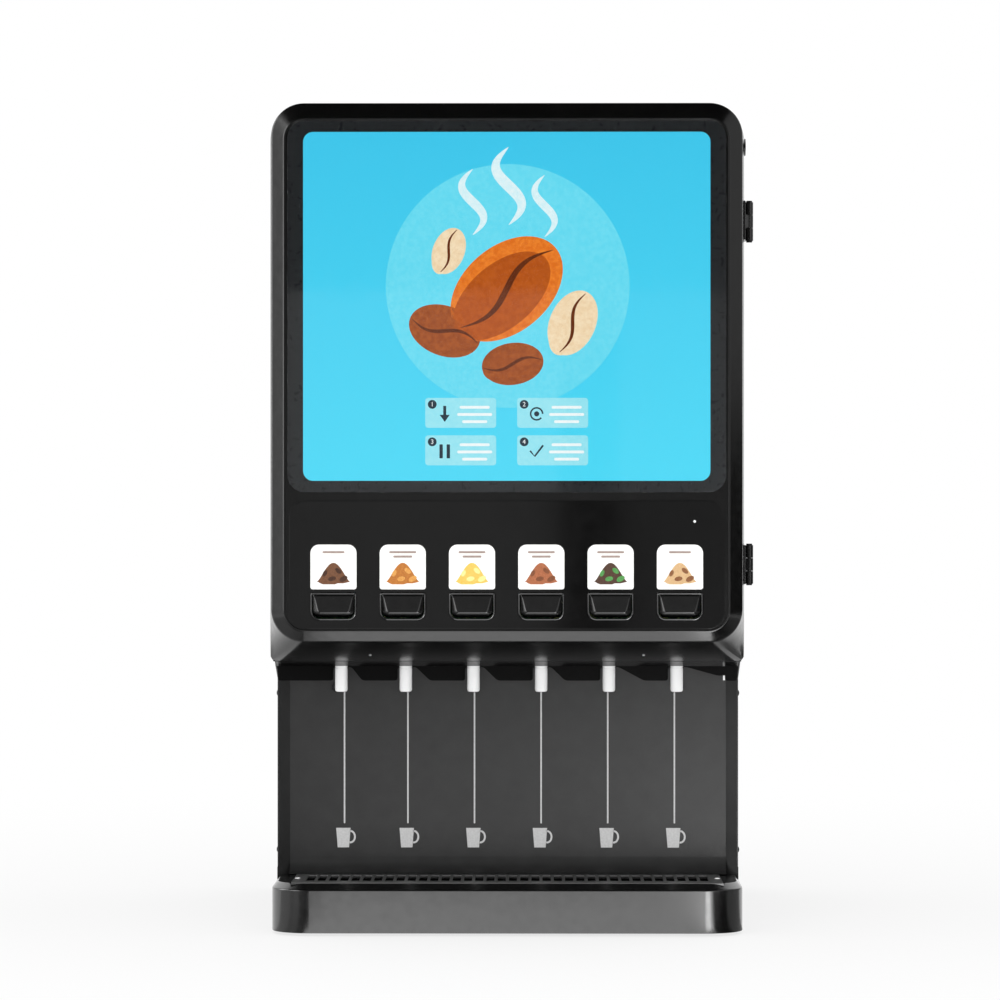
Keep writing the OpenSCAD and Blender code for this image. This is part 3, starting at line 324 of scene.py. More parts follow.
class Finish:
    """One procedural material. Its textures use object coordinates, so they move with their body."""

    def __init__(self, name, rough=0.5, metallic=0, specular=0.5, coat=0, ior=1.5, transmission=0):
        self.material = new_material(name)
        self.tree = self.material.node_tree
        self.shader = self.tree.nodes["Principled BSDF"]
        self.set("Roughness", rough)
        self.set("Metallic", metallic)
        self.set("Specular IOR Level", specular)
        self.set("Coat Weight", coat)
        self.set("Coat Roughness", 0.06)
        self.set("IOR", ior)
        self.set("Transmission Weight", transmission)
        self.coords = add_node(self.tree, "TexCoord", "Object", {})

    def set(self, socket, value):
        self.shader.inputs[socket].default_value = value

    def link(self, value, socket):
        self.tree.links.new(value, self.shader.inputs[socket])

    def stretched(self, stretch):
        return add_node(self.tree, "Mapping", "Vector", {"Vector": self.coords, "Scale": stretch})

    def noise(self, scale, detail, stretch=(1, 1, 1)):
        inputs = {"Vector": self.stretched(stretch), "Scale": scale, "Detail": detail}
        return add_node(self.tree, "TexNoise", "Fac", inputs)

    def cell_edges(self, scale, stretch):
        inputs = {"Vector": self.stretched(stretch), "Scale": scale}
        return add_node(self.tree, "TexVoronoi", "Distance", inputs, feature="DISTANCE_TO_EDGE")

    def height(self, low_z, high_z):
        """0 at low_z to 1 at high_z, in millimetres."""
        z = add_node(self.tree, "SeparateXYZ", "Z", {"Vector": self.coords})
        return self.spread(z, low_z * MM, high_z * MM, 0, 1)

    def spread(self, value, from_low, from_high, to_low, to_high):
        inputs = {"From Min": from_low, "From Max": from_high, "To Min": to_low, "To Max": to_high}
        return add_node(self.tree, "MapRange", "Result", {"Value": value, **inputs})

    def ramp(self, value, *stops):
        node = self.tree.nodes.new("ShaderNodeValToRGB")
        elements = node.color_ramp.elements
        while len(elements) < len(stops):
            elements.new(0.5)
        for element, (at, color) in zip(elements, stops):
            element.position = at
            element.color = color
        self.tree.links.new(value, node.inputs["Fac"])
        return node.outputs["Color"]

    def color(self, value, *stops):
        self.link(self.ramp(value, *stops), "Base Color")

    def gloss(self, value, low, high):
        self.link(self.spread(value, 0.3, 0.7, low, high), "Roughness")

    def bump(self, value, strength, depth):
        """Relief in millimetres, on top of any that is there."""
        inputs = {"Height": value, "Strength": strength, "Distance": depth * MM}
        before = self.shader.inputs["Normal"]
        if before.is_linked:
            inputs["Normal"] = before.links[0].from_socket
        self.link(add_node(self.tree, "Bump", "Normal", inputs), "Normal")

    def glow(self, value, *stops):
        self.link(self.ramp(value, *stops), "Emission Color")
        self.set("Emission Strength", 1)


def mottled(name, dark, light, patches, shine, grain, start=0.3, **looks):
    """Two tones in soft patches, with uneven gloss and a fine grain.

    patches is (scale, detail), shine is (scale, detail, least roughness, most roughness), grain is
    (scale, detail, strength, depth), and start is where the ramp from dark to light begins.
    """
    f = Finish(name, **looks)
    f.color(f.noise(*patches), (start, dark), (1 - start, light))
    f.gloss(f.noise(*shine[:2]), *shine[2:])
    f.bump(f.noise(*grain[:2]), *grain[2:])
    return f


def moulded(name, dark, light, rough, grain=2400, grain_strength=0.12, **looks):
    """Moulded plastic with a fine spark-eroded grain."""
    shine = (130, 3, rough - 0.03, rough + 0.05)
    return mottled(name, tone(dark), tone(light), (45, 4), shine, (grain, 2, grain_strength, 0.12), **looks)


def coated(name, dark, light, rough, **looks):
    """Powder coat on sheet metal: soft orange peel under a fine sparkle."""
    shine = (300, 2, rough - 0.05, rough + 0.06)
    f = mottled(name, tone(dark), tone(light), (60, 5), shine, (420, 2, 0.1, 0.15), **looks)
    f.bump(f.noise(1900, 2), 0.08, 0.06)
    return f


def ink(name, rgb_a, rgb_b, scale=500, rough=0.45):
    """Print on card or paint, with a little mottle."""
    shine = (220, 2, rough - 0.05, rough + 0.08)
    grain = (2600, 2, 0.05, 0.03)
    return mottled(name, tone(*rgb_a), tone(*rgb_b), (scale, 4), shine, grain, 0.32, specular=0.35)


def lit_print(name, rgb_a, rgb_b):
    """Back-lit print: glows in its own colour, with the faint mottle of ink on film."""
    f = Finish(name, rough=0.6, specular=0.1)
    f.set("Base Color", (0, 0, 0, 1))
    f.glow(f.noise(260, 3), (0.35, tone(*rgb_a)), (0.65, tone(*rgb_b)))
    return f


def brushed(name, dark, light, rough, stretch):
    """Metal with fine grinding lines across the long axis of stretch."""
    f = Finish(name, metallic=1)
    lines = f.noise(900, 3, stretch)
    f.color(lines, (0.3, dark), (0.7, light))
    f.gloss(lines, rough - 0.06, rough + 0.1)
    f.bump(lines, 0.06, 0.05)
    return f


def clear(name, tint, rough, transmission, ior):
    """See-through plastic or glass with faintly uneven tint and gloss."""
    f = Finish(name, rough=rough, ior=ior, transmission=transmission)
    f.color(f.noise(30, 3), (0.3, tint), (0.7, tuple(min(1, c * 1.03) for c in tint)))
    f.gloss(f.noise(55, 4), max(rough - 0.02, 0), rough + 0.03)
    return f


base_gray = moulded("base_gray", 6, 10, 0.17, 1500, 0.08, specular=1, coat=0.5)
base_gray.set("Coat Roughness", 0.22)
base_gray.bump(base_gray.noise(700, 3), 0.05, 0.2)
door_gray = moulded("door_gray", 4, 7, 0.2, grain_strength=0.02, specular=0.8)
paddle_gray = moulded("paddle_gray", 7, 11, 0.18, 1500, 0.1, specular=0.8)
rim_black = moulded("rim_black", 8, 11, 0.2, grain_strength=0.02, specular=1, coat=1)
black_plastic = moulded("black_plastic", 10, 14, 0.24, grain_strength=0.04, specular=0.8)
# Painted light: the drip grille is dark plastic, lightened to grey to offset the shade under the door and to
# stand in for the sheen it catches seen at a grazing angle.
grille_black = moulded("grille_black", 86, 92, 0.32, 2000, 0.08, specular=0.7)
bowl_gray = moulded("bowl_gray", 172, 182, 0.34, grain_strength=0.05)
white_plastic = moulded("white_plastic", 239, 246, 0.3, grain_strength=0.04)
amber_tones = (tone(205, 140, 38), tone(222, 160, 52))
amber_plastic = mottled("amber_plastic", *amber_tones, (70, 4), (150, 3, 0.32, 0.42), (900, 2, 0.08, 0.1))
rubber = mottled("rubber", tone(16), tone(26), (120, 4), (200, 3, 0.65, 0.85), (1200, 3, 0.2, 0.1))
rubber.set("Specular IOR Level", 0.3)
panel_gloss = mottled("panel_gloss", tone(4), tone(6), (40, 3), (70, 4, 0.06, 0.1), (220, 2, 0.02, 0.05))
panel_gloss.set("Coat Weight", 0.3)
cabinet_paint = coated("cabinet_paint", 18, 23, 0.32, specular=0.7)
splash_paint = coated("splash_paint", 35, 41, 0.38, specular=0.6)
matt_black = coated("matt_black", 3, 5, 0.5, specular=0.1)
black_paint = coated("black_paint", 3, 5, 0.16, specular=0.4)
motor_gray = coated("motor_gray", 74, 92, 0.42, metallic=0.75)
steel = brushed("steel", (0.46, 0.46, 0.47, 1), (0.62, 0.62, 0.63, 1), 0.3, (1, 1, 0.03))
brass = brushed("brass", (0.62, 0.44, 0.18, 1), (0.78, 0.58, 0.27, 1), 0.28, (0.05, 1, 0.05))
black_screw = brushed("black_screw", (0.035, 0.035, 0.037, 1), (0.06, 0.06, 0.063, 1), 0.3, (1, 0.2, 0.2))
hopper_clear = clear("hopper_clear", (0.84, 0.86, 0.87, 1), 0.22, 0.45, 1.49)
display_clear = clear("display_glass", (1, 1, 1, 1), 0.03, 1, 1.45)
border_print = ink("border_print", (46, 49, 52), (51, 54, 57), 300, 0.3)
status_lens = ink("status_lens", (236, 238, 240), (244, 246, 248), 900, 0.25)
card_white = ink("card_white", (244, 243, 240), (252, 252, 250), 900, 0.4)
caption_ink = ink("caption_ink", (150, 132, 124), (168, 150, 142), 700)
print_gray = ink("print_gray", (190, 190, 190), (204, 204, 204))

board_green = Finish("board_green")
board_lines = board_green.cell_edges(160, (1, 1, 0.4))
board_green.color(board_lines, (0.02, tone(150, 165, 90)), (0.06, tone(24, 92, 50)), (0.5, tone(12, 66, 34)))
board_green.gloss(board_green.noise(90, 3), 0.25, 0.4)
board_green.bump(board_lines, 0.15, 0.1)

sheet_glow = Finish("display_sheet", specular=0.2)
sheet_glow.set("Base Color", tone(20, 60, 72))
sheet_glow.glow(sheet_glow.height(470, 800), (0, tone(75, 218, 247)), (1, tone(60, 200, 237)))
sheet_glow.bump(sheet_glow.noise(700, 2), 0.05, 0.05)

# Stations

STATIONS = 6
STATION_PITCH = 69.3
FIRST_SPOUT_SHIFT = 3.3
STATION_X = [(i - (STATIONS - 1) / 2) * STATION_PITCH for i in range(STATIONS)]
SPOUT_X = [STATION_X[0] + FIRST_SPOUT_SHIFT] + STATION_X[1:]

# Door frame: recess, bezel, flared sides, and the ears that meet the receding chin in a mitre

FRONT = outline(223.3, 309.1, 823, 21)
RECESS = outline(221.7, 310.7, 821.4, 20)
RIDGE = outline(236.3, 298.6, 838.8, 33)
BACK = outline(240.3, 277.5, 839, 5.2, 34)
BACK_INSIDE = outline(236.3, 281.5, 835, 3, 30)
LIT = outline(203.8, 460, 809.2, 10)
LIT_GAP = 3
SWITCH_HOLE = outline(203.35, 315.7, 435.9, 8.5)
RECESS_D = 3
FRAME_D = 6
RIDGE_D = 9.6
INSIDE_D = 20
DOOR_D = 60
DOOR_WALL = 4
LIP_R = 0.5
FRONT_R = 0.7
# Shares of a slope where the rounding of the edge at its end starts or stops
BEZEL_FROM, BEZEL_TO = 0.08, 0.86
SIDE_FROM, SIDE_TO = 0.035, 0.982
BACK_FROM = 0.2
BEND_STEPS = 6
EAR_START = 10
EAR_STEPS = 16
EAR_PITCH = 4.6
EAR_TURN = (90 - EAR_START) / EAR_STEPS
EAR_ANGLES = [0, EAR_START / 2] + [EAR_START + EAR_TURN * k for k in range(EAR_STEPS + 1)]
CHIN_BULGE = 1.6
CHIN_WEIGHTS = [1, 1, 1, 0.9, 0.6, 0.3]
CHIN_STEPS = 8


def upper_corner(shape):
    return arc(shape.half - shape.rt, shape.z1 - shape.rt, shape.rt, 0, 90, CORNER_STEPS)


def lower_corner(shape, a):
    """Point of the lower right corner, a radians on from its foot."""
    return (shape.half - shape.rb * (1 - sin(a)), shape.z0 + shape.rb * (1 - cos(a)))


def door_ring(shape, d):
    lower = [lower_corner(shape, radians(angle)) for angle in EAR_ANGLES]
    return at_depth(mirrored(lower + upper_corner(shape)), d)


def door_back_ring():
    """Back edge of the door: each ear runs round the small lower corner and up the side."""
    half, z0, _, rb, _, _ = BACK
    round_len = pi / 2 * rb
    rise = RIDGE.z0 + RIDGE.rb - z0 - rb
    lower = [(half - rb - EAR_PITCH * k, z0) for k in (2, 1, 0)]
    for k in range(1, EAR_STEPS + 1):
        s = (round_len + rise) * k / EAR_STEPS
        lower.append(lower_corner(BACK, s / rb) if s < round_len else (half, z0 + rb + s - round_len))
    return at_depth(mirrored(lower + upper_corner(BACK)), DOOR_D)


def chin_sag(share):
    """How far the chin hangs below the straight line from ridge to back."""
    return 4 * CHIN_BULGE * share * (1 - share)


def chin_ring(ridge, back, share):
    """Ring between ridge and back, with its foot on the rounded chin."""
    points = mix(ridge, back, share)
    for k, weight in enumerate(CHIN_WEIGHTS):
        for index in (k, -1 - k):
            x, d, z = points[index]
            points[index] = (x, d, z - chin_sag(share) * weight)
    return points


def build_door_frame():
    s = Shape()
    lip = door_ring(RECESS, 0)
    front = door_ring(FRONT, 0)
    ridge = door_ring(RIDGE, RIDGE_D)
    back = door_back_ring()
    inside = door_ring(BACK_INSIDE, DOOR_D)
    rings = [door_ring(RECESS, RECESS_D)]
    rings += bend(door_ring(RECESS, LIP_R), lip, door_ring(grown(RECESS, LIP_R), 0), BEND_STEPS)
    rings += bend(door_ring(grown(FRONT, -FRONT_R), 0), front, mix(front, ridge, BEZEL_FROM), BEND_STEPS)
    rings += bend(mix(front, ridge, BEZEL_TO), ridge, chin_ring(ridge, back, SIDE_FROM), BEND_STEPS)
    rings += [chin_ring(ridge, back, k / CHIN_STEPS) for k in range(1, CHIN_STEPS)]
    rings += bend(chin_ring(ridge, back, SIDE_TO), back, mix(back, inside, BACK_FROM), BEND_STEPS)
    rings.append(inside)
    rings.append(door_ring(grown(RIDGE, -DOOR_WALL), INSIDE_D))
    rings.append(door_ring(grown(FRONT, -DOOR_WALL), FRAME_D))
    loops = [s.ring(ring) for ring in rings]
    s.skin(loops)
    front_holes = []
    back_holes = []
    for hole in (grown(LIT, LIT_GAP), SWITCH_HOLE):
        front_holes.append(s.loop(trace(hole), RECESS_D))
        back_holes.append(s.loop(trace(hole), FRAME_D))
        s.skin([front_holes[-1], back_holes[-1]])
    s.fill(loops[0], *front_holes)
    s.fill(loops[-1], *back_holes)
    s.piece("door_frame_body", door_gray, "door", ["door_frame"], angle=20)


build_door_frame()

# Display: glass, printed border and lit film

GLASS = outline(219.5, 448.6, 820.6, 17)
GLASS_D = 0.4
BORDER_D = 2.9
BORDER_INSET = 0.3
SHEET_LAP = 2.5
SHEET_D = 3.4
SHEET_BACK_D = 3.8

s = Shape()
s.plate(GLASS, [], GLASS_D, BORDER_D - 0.04, 0.35)
s.piece("display_pane", display_clear, "door", ["display_glass"])

s = Shape()
s.plate(grown(GLASS, -BORDER_INSET), [LIT], BORDER_D, RECESS_D - 0.02, 0.03)
s.piece("display_border", border_print, "door")

s = Shape()
s.plate(grown(LIT, SHEET_LAP), [], SHEET_D, SHEET_BACK_D, 0.1)
s.piece("display_film", sheet_glow, "door", ["display_sheet"])

# Control panel with its six button openings and the status light

PANEL = outline(217.7, 311.7, 439.9, 17)
PANEL_D = 0.4
PANEL_GAP = 0.2
BUTTON = outline(23.1, 320.5, 348.2, 9, 2.4)
BUTTON_FLANGE = outline(26.1, 319, 349.7, 3)
BUTTON_RIM = 1.9
BUTTON_FRONT_D = -1
BUTTON_BACK_D = 9
STATUS_X = 188
STATUS_Z = 419.4
STATUS_R = 1.3
LENS_R = STATUS_R + 0.08
LENS = [(0.05, -0.35), (0.6 * LENS_R, -0.32), (0.9 * LENS_R, -0.2), (LENS_R, 0.1), (LENS_R, 2.4)]


def button_shape(mid, by=0):
    return grown(BUTTON._replace(mid=mid), by)


s = Shape()
holes = [button_shape(x, PANEL_GAP) for x in STATION_X]
status = outline(STATUS_R, STATUS_Z - STATUS_R, STATUS_Z + STATUS_R, STATUS_R - 0.01, mid=STATUS_X)
s.plate(PANEL, holes + [grown(status, PANEL_GAP)], PANEL_D, RECESS_D, 0.3, SMALL_STEPS)
s.piece("control_face", panel_gloss, "door", ["control_panel"])

s = Shape()
for x in STATION_X:
    s.plate(button_shape(x), [button_shape(x, -BUTTON_RIM)], BUTTON_FRONT_D, BUTTON_BACK_D, 0.9, SMALL_STEPS)
    s.plate(BUTTON_FLANGE._replace(mid=x), [button_shape(x, -0.1)], RECESS_D, FRAME_D, 0.3, SMALL_STEPS)
s.piece("button_rims", rim_black, "door", ["button_frames"])

s = Shape()
s.turned(LENS, (STATUS_X, PANEL_D, STATUS_Z), "d", 28)
s.piece("status_light", status_lens, "door")

# Push paddles: a tilted face with sloping sides and a deep lower edge

PADDLE = outline(20.7, 323, 346.3, 7, 1.2)
PADDLE_BACK_D = 9
SKIRT_D = 5
SKIRT_STEP = (0.7, 0.2)
PADDLE_EDGE_D = -0.2
PADDLE_EDGE_R = 0.7
FOOT_SINK = 3.2
# Half width, height and depth of the face at its two ends
FACE_TOP = (19.2, 345.3, -0.9)
FACE_FOOT = (15.8, 327.6, -6.5)
# Corners of the face: side, end, and their place as shares of the half width and the height
FACE_CORNERS = [(1, -1, 0.999, 0), (1, 1, 1, 0.999), (-1, 1, 0.999, 1), (-1, -1, 1, 0.001)]
FACE_R = 2
FACE_ROUNDING = 1.5


def face_ring(mid, inset):
    """Rounded trapezoid in the paddle's sloping face, as (x, d, z) points."""
    top_half, top_z, top_d = FACE_TOP
    foot_half, foot_z, foot_d = FACE_FOOT
    ring = []
    for k, (side, end, wide, tall) in enumerate(FACE_CORNERS):
        half = foot_half + (top_half - foot_half) * tall - inset
        cx = mid + side * (half * wide - FACE_R)
        cz = foot_z + inset + (top_z - foot_z - 2 * inset) * tall - end * FACE_R
        for x, z in arc(cx, cz, FACE_R, 90 * (k - 1), 90 * k, SMALL_STEPS):
            ring.append((x, foot_d + (top_d - foot_d) * (z - foot_z) / (top_z - foot_z), z))
    return ring


def edge_depth(z):
    """Depth of the paddle's outer edge, which lies deeper along the foot."""
    share = min((z - PADDLE.z0) / PADDLE.rb, 1)
    return PADDLE_EDGE_D + FOOT_SINK * (1 - share) ** 2


def build_paddle(number, x):
    s = Shape()
    shape = PADDLE._replace(mid=x)
    inset, step = SKIRT_STEP
    skirt = trace(shape, SMALL_STEPS)
    inner = trace(grown(shape, -inset), SMALL_STEPS)
    rim = [(px, edge_depth(z), z) for px, z in skirt]
    below = [(px, d + PADDLE_EDGE_R, z) for px, d, z in rim]
    face = face_ring(x, 0)
    rings = [at_depth(inner, PADDLE_BACK_D), at_depth(inner, SKIRT_D + step), at_depth(skirt, SKIRT_D)]
    rings += bend(below, rim, mix(rim, face, 0.12), 4)
    rings += bend(mix(rim, face, 0.45), face, face_ring(x, FACE_ROUNDING), 7)
    loops = [s.ring(ring) for ring in rings]
    s.skin(loops)
    s.fill(loops[0])
    s.fill(loops[-1])
    name = f"button_{number}"
    s.piece(f"paddle_{number}", paddle_gray, name, [name], angle=50)


for number, x in enumerate(STATION_X, 1):
    build_paddle(number, x)

# Flavour cards: caption bars and a small heap of powder, each in its own colours

CARD = outline(23.1, 351.4, 396.2, 2.5, 8.5)
CARD_D = -0.2
CARD_BACK_D = 0.4
INK_D = -0.26
CAPTION_Z = 387.5
CAPTION_H = 2.2
CAPTION_PITCH = 4.4
ONE_LINE = [11]
TWO_LINES = [13.5, 9.5]
HEAP_Z = 359
HEAP_FOOT = 1.6
HEAP_STEPS = 28
# Name, half widths of the captions, then two tones of the powder and two of the crumbs
FLAVOURS = [
    ("roast", ONE_LINE, (92, 58, 38), (126, 84, 56), (58, 34, 22), (84, 52, 34)),
    ("toffee", TWO_LINES, (166, 96, 34), (196, 126, 54), (206, 140, 60), (224, 166, 90)),
    ("banana", TWO_LINES, (222, 178, 70), (240, 204, 110), (246, 222, 132), (250, 232, 160)),
    ("spice", TWO_LINES, (150, 84, 52), (182, 112, 74), (112, 62, 34), (138, 80, 46)),
    ("mint", TWO_LINES, (64, 44, 34), (92, 64, 48), (64, 132, 62), (92, 160, 84)),
    ("tea", ONE_LINE, (198, 158, 110), (218, 184, 140), (122, 74, 40), (146, 96, 56)),
]
# Place in the heap, half length and turn
CRUMBS = [(10, 3, 4.4, 0.5), (5, 11, 3.8, -0.7), (-8.5, 8.5, 3.4, 1.1), (-1.5, 3, 4, 0.2)]
CRUMB_SLIM = 0.58

s = Shape()
for x in STATION_X:
    s.plate(CARD._replace(mid=x), [], CARD_D, CARD_BACK_D, 0.15, 8)
s.piece("flavor_card_set", card_white, "door", ["flavor_cards"])

s = Shape()
for x, (_, lines, *_) in zip(STATION_X, FLAVOURS):
    for line, half in enumerate(lines):
        z = CAPTION_Z - CAPTION_PITCH * line
        s.flat(trace(outline(half, z, z + CAPTION_H, 1, mid=x), 5), INK_D)
s.piece("card_captions", caption_ink, "door")


def heap_outline(mid, z0, half, rise):
    """Low mound with a rounded crest."""
    points = []
    for k in range(HEAP_STEPS + 1):
        t = -1 + 2 * k / HEAP_STEPS
        points.append((mid - t * half, z0 + rise * (cos(t * pi / 2) ** 1.3)))
    return points + [(mid - half * 0.6, z0 - HEAP_FOOT), (mid + half * 0.6, z0 - HEAP_FOOT)]


for number, (x, (name, _, dark, light, *crumb_tones)) in enumerate(zip(STATION_X, FLAVOURS), 1):
    s = Shape()
    s.flat(heap_outline(x, HEAP_Z, 16.5, 19), INK_D)
    s.flat(heap_outline(x - 4.5, HEAP_Z - 1, 10, 10), INK_D - 0.05)
    s.piece(f"card_heap_{number}", ink(f"powder_{name}", dark, light, 1500, 0.7), "door")
    s = Shape()
    for k, (dx, dz, size, turn) in enumerate(CRUMBS):
        s.flat(ellipse(x + dx, HEAP_Z + dz, size, size * CRUMB_SLIM, turn, 26), INK_D - 0.1 - 0.02 * k, 0.02)
    s.piece(f"card_accent_{number}", ink(f"accent_{name}", *crumb_tones, 1100, 0.5), "door")

# Lit artwork: coffee beans in front of a disc, and ribbons of steam above them

ART_D = 3.3
LAYER = 0.02
bean_tones = [
    lit_print("bean_amber", (226, 112, 30), (240, 134, 44)),
    lit_print("bean_brown", (150, 72, 26), (172, 88, 34)),
    lit_print("bean_cream", (242, 214, 172), (250, 228, 192)),
]
bean_shade = lit_print("bean_shade", (176, 80, 18), (190, 92, 26))
bean_crease = lit_print("bean_crease", (96, 42, 14), (108, 50, 18))
steam_white = lit_print("steam_white", (214, 246, 252), (232, 251, 254))
halo_blue = lit_print("halo_blue", (100, 222, 246), (112, 226, 248))
HALO = (1, 655, 122, 122)
# Middle, half length, half width, turn and tone
BEANS = [
    (0, 652, 64, 43, 0.7, 0),
    (-62, 610, 37, 25, -0.35, 1),
    (66, 618, 34, 23, 1.15, 2),
    (6, 577, 31, 21, 0.15, 1),
    (-58, 690, 24, 16, 1.2, 2),
]
CREASE_STEPS = 32
# Foot, rise, sway and width
STEAM = [(-34, 706, 66, 11, 9), (2, 716, 78, 13, 11), (38, 704, 62, 10, 8)]
STEAM_STEPS = 40


def art(name, finish, layer, flats=(), strips=()):
    """Printed piece of the display, some layers in front of the artwork's own depth."""
    s = Shape()
    for points in flats:
        s.flat(points, ART_D - layer * LAYER, FILM_T)
    for centre, widths in strips:
        s.strip(centre, widths, ART_D - layer * LAYER, FILM_T)
    s.piece(name, finish, "door")


def crease_strip(cx, cz, a, b, turn):
    """Wavy line along a bean, as centre points and widths."""
    shares = [-1 + 2 * k / CREASE_STEPS for k in range(CREASE_STEPS + 1)]
    centre = [(0.94 * a * t, 0.2 * b * sin(t * pi)) for t in shares]
    return spun(centre, cx, cz, turn), [0.6 + 0.13 * b * cos(t * pi / 2) for t in shares]


def steam_strip(x, z, rise, sway, width):
    shares = [k / STEAM_STEPS for k in range(STEAM_STEPS + 1)]
    centre = [(x + sway * sin(t * 2 * pi), z + rise * t) for t in shares]
    return centre, [width * sin(pi * t) ** 0.8 + 0.3 for t in shares]


art("art_halo", halo_blue, -3, [ellipse(*HALO, 0, 96)])
for number, (cx, cz, a, b, turn, shade) in enumerate(BEANS, 1):
    inner_x = cx - 0.1 * b * sin(turn) - 2
    inner_tone = bean_shade if shade == 0 else bean_tones[shade]
    art(f"art_bean_{number}", bean_tones[shade], 0, [ellipse(cx, cz, a, b, turn, 72)])
    inner = ellipse(inner_x, cz - 0.16 * b, 0.9 * a, 0.74 * b, turn, 60)
    art(f"art_bean_light_{number}", inner_tone, 1, [inner])
    art(f"art_crease_{number}", bean_crease, 2, strips=[crease_strip(cx, cz, a, b, turn)])
for number, ribbon in enumerate(STEAM, 1):
    art(f"art_steam_{number}", steam_white, 0, strips=[steam_strip(*ribbon)])

# Four step tiles in two rows of two, each with a number, a sign (arrow, ring, two bars or tick) and text bars

TILE_HALF = 35.5
TILE_H = 30
TILES = [(-46, 528), (46, 528), (-46, 490.5), (46, 490.5)]
NUMBER_X, NUMBER_Z = -28.5, 8.5
NUMBER_R = 4.4
NUMBER_SIZE = 6.4
SIGN_X, SIGN_Z = -16, -1
BAR_X, BAR_Z = 14, 5.6
BAR_HALVES = (15, 17.5, 12.5)
BAR_PITCH = 7.2
BAR_HALF_H = 1.4
ARROW = [(-1.5, 8), (-1.5, -1), (-5, -1), (0, -8), (5, -1), (1.5, -1), (1.5, 8)]
TICK = [(-6.5, 0.5), (-2, -5), (6.5, 6)]
tile_blue = lit_print("tile_blue", (150, 232, 246), (160, 236, 248))
tile_text = lit_print("tile_text", (240, 252, 254), (250, 255, 255))
tile_dark = lit_print("tile_dark", (26, 44, 58), (34, 54, 68))


def digit(number, x, z, size, d):
    """Numeral as a thin piece, read from the front."""
    curve_data = bpy.data.curves.new("numeral", "FONT")
    setup(curve_data, body=str(number), size=size * MM, extrude=FILM_T * MM)
    setup(curve_data, align_x="CENTER", align_y="CENTER")
    holder = bpy.data.objects.new("numeral", curve_data)
    mesh = bpy.data.meshes.new_from_object(holder)
    mesh.transform(Matrix.Translation(place(x, d, z)) @ Matrix.Rotation(pi / 2, 4, "X"))
    bpy.data.objects.remove(holder)
    bpy.data.curves.remove(curve_data)
    return add_object(f"art_number_{number}", mesh)


def even(points, width):
    return points, [width] * len(points)


arrow_at, ring_at, bars_at, tick_at = [(x + SIGN_X, z + SIGN_Z) for x, z in TILES]
signs = [ellipse(x + NUMBER_X, z + NUMBER_Z, NUMBER_R, NUMBER_R, 0, 32) for x, z in TILES]
signs += [spun(ARROW, *arrow_at, 0), ellipse(*ring_at, 2.6, 2.6, 0, 24)]
signs += [spun(trace(outline(1.7, -7, 7, 0.8, mid=dx), 5), *bars_at, 0) for dx in (-3.6, 3.6)]
sign_strips = [even(arc(*ring_at, 6, 0, 320, 32), 1.6), even(spun(TICK, *tick_at, 0), 1.9)]
bars = []
for x, z in TILES:
    for row, half in enumerate(BAR_HALVES):
        bar_z = z + BAR_Z - BAR_PITCH * row
        bars.append(trace(outline(half, bar_z - BAR_HALF_H, bar_z + BAR_HALF_H, 1.3, mid=x + BAR_X), 5))
tile_plans = [trace(outline(TILE_HALF, z - TILE_H / 2, z + TILE_H / 2, 3, mid=x), 6) for x, z in TILES]

art("art_tiles", tile_blue, 0, tile_plans)
art("art_signs", tile_dark, 1, signs, sign_strips)
art("art_bars", tile_text, 1, bars)
for number, (x, z) in enumerate(TILES, 1):
    numeral = digit(number, x + NUMBER_X, z + NUMBER_Z - 0.1, NUMBER_SIZE, ART_D - 2 * LAYER)
    finish_piece(numeral, tile_text, "door")

# Base: wall with round front corners, chamfer to the deck, drip well, hollow underside and foot posts

BASE_HALF = 239.5
BASE_FRONT_D = 40
BASE_BACK_D = 580
BASE_R = 40
BASE_Z = 3
BASE_WALL = 3
BASE_FOOT_R = 0.7
WALL_TOP_Z = 46.6
WALL_TOP_R = 1
DECK_Z = 52.2
CEILING_Z = WALL_TOP_Z - BASE_WALL
CHAMFER_SIDE = 5
CHAMFER_FRONT = 13.5
CHAMFER_EASE = (0.5, 1.35)
DECK_EASE = (0.6, 0.4)
POST_X = 189.5
POST_FRONT_D = 90
POST_BACK_D = 530
POST_R = 18
WELL = (219.6, 54.4, 152.1)
WELL_Z = 17
WELL_FOOT_Z = WELL_Z - BASE_WALL
COLUMN_Z = 60
COLUMN_WALL = 6
UPSTAND_HALF = 239.3
WEDGE_HALF = 237.5
SPLASH_HALF = 226.7
SPLASH_D = 170
SPLASH_FOOT_T = 7.5


def base_plan(side, front, back=0):
    """Plan of the base as (x, d) points, pulled in by side, front and back."""
    half = BASE_HALF - side
    r = BASE_R - side
    d0 = BASE_FRONT_D + front
    return mirrored([(half, BASE_BACK_D - back)] + arc(half - r, d0 + r, r, 0, -90, CORNER_STEPS))


def rectangle(half, d0, d1):
    return [(half, d0), (half, d1), (-half, d1), (-half, d0)]


def base_rings():
    """Outside of the base from foot to deck, as (side, front, z): the plan's inset at each height."""
    side, front = CHAMFER_EASE
    rise = front * (DECK_Z - WALL_TOP_Z) / CHAMFER_FRONT
    bends = [
        ((BASE_FOOT_R, BASE_FOOT_R, BASE_Z), (0, 0, BASE_Z), (0, 0, BASE_Z + BASE_FOOT_R), 3),
        ((0, 0, WALL_TOP_Z - WALL_TOP_R), (0, 0, WALL_TOP_Z), (side, front, WALL_TOP_Z + rise), 4),
        (
            (CHAMFER_SIDE - side, CHAMFER_FRONT - front, DECK_Z - rise),
            (CHAMFER_SIDE, CHAMFER_FRONT, DECK_Z),
            (CHAMFER_SIDE + DECK_EASE[0], CHAMFER_FRONT + DECK_EASE[1], DECK_Z),
            3,
        ),
    ]
    return [ring for ends in bends for ring in curve(*ends)]


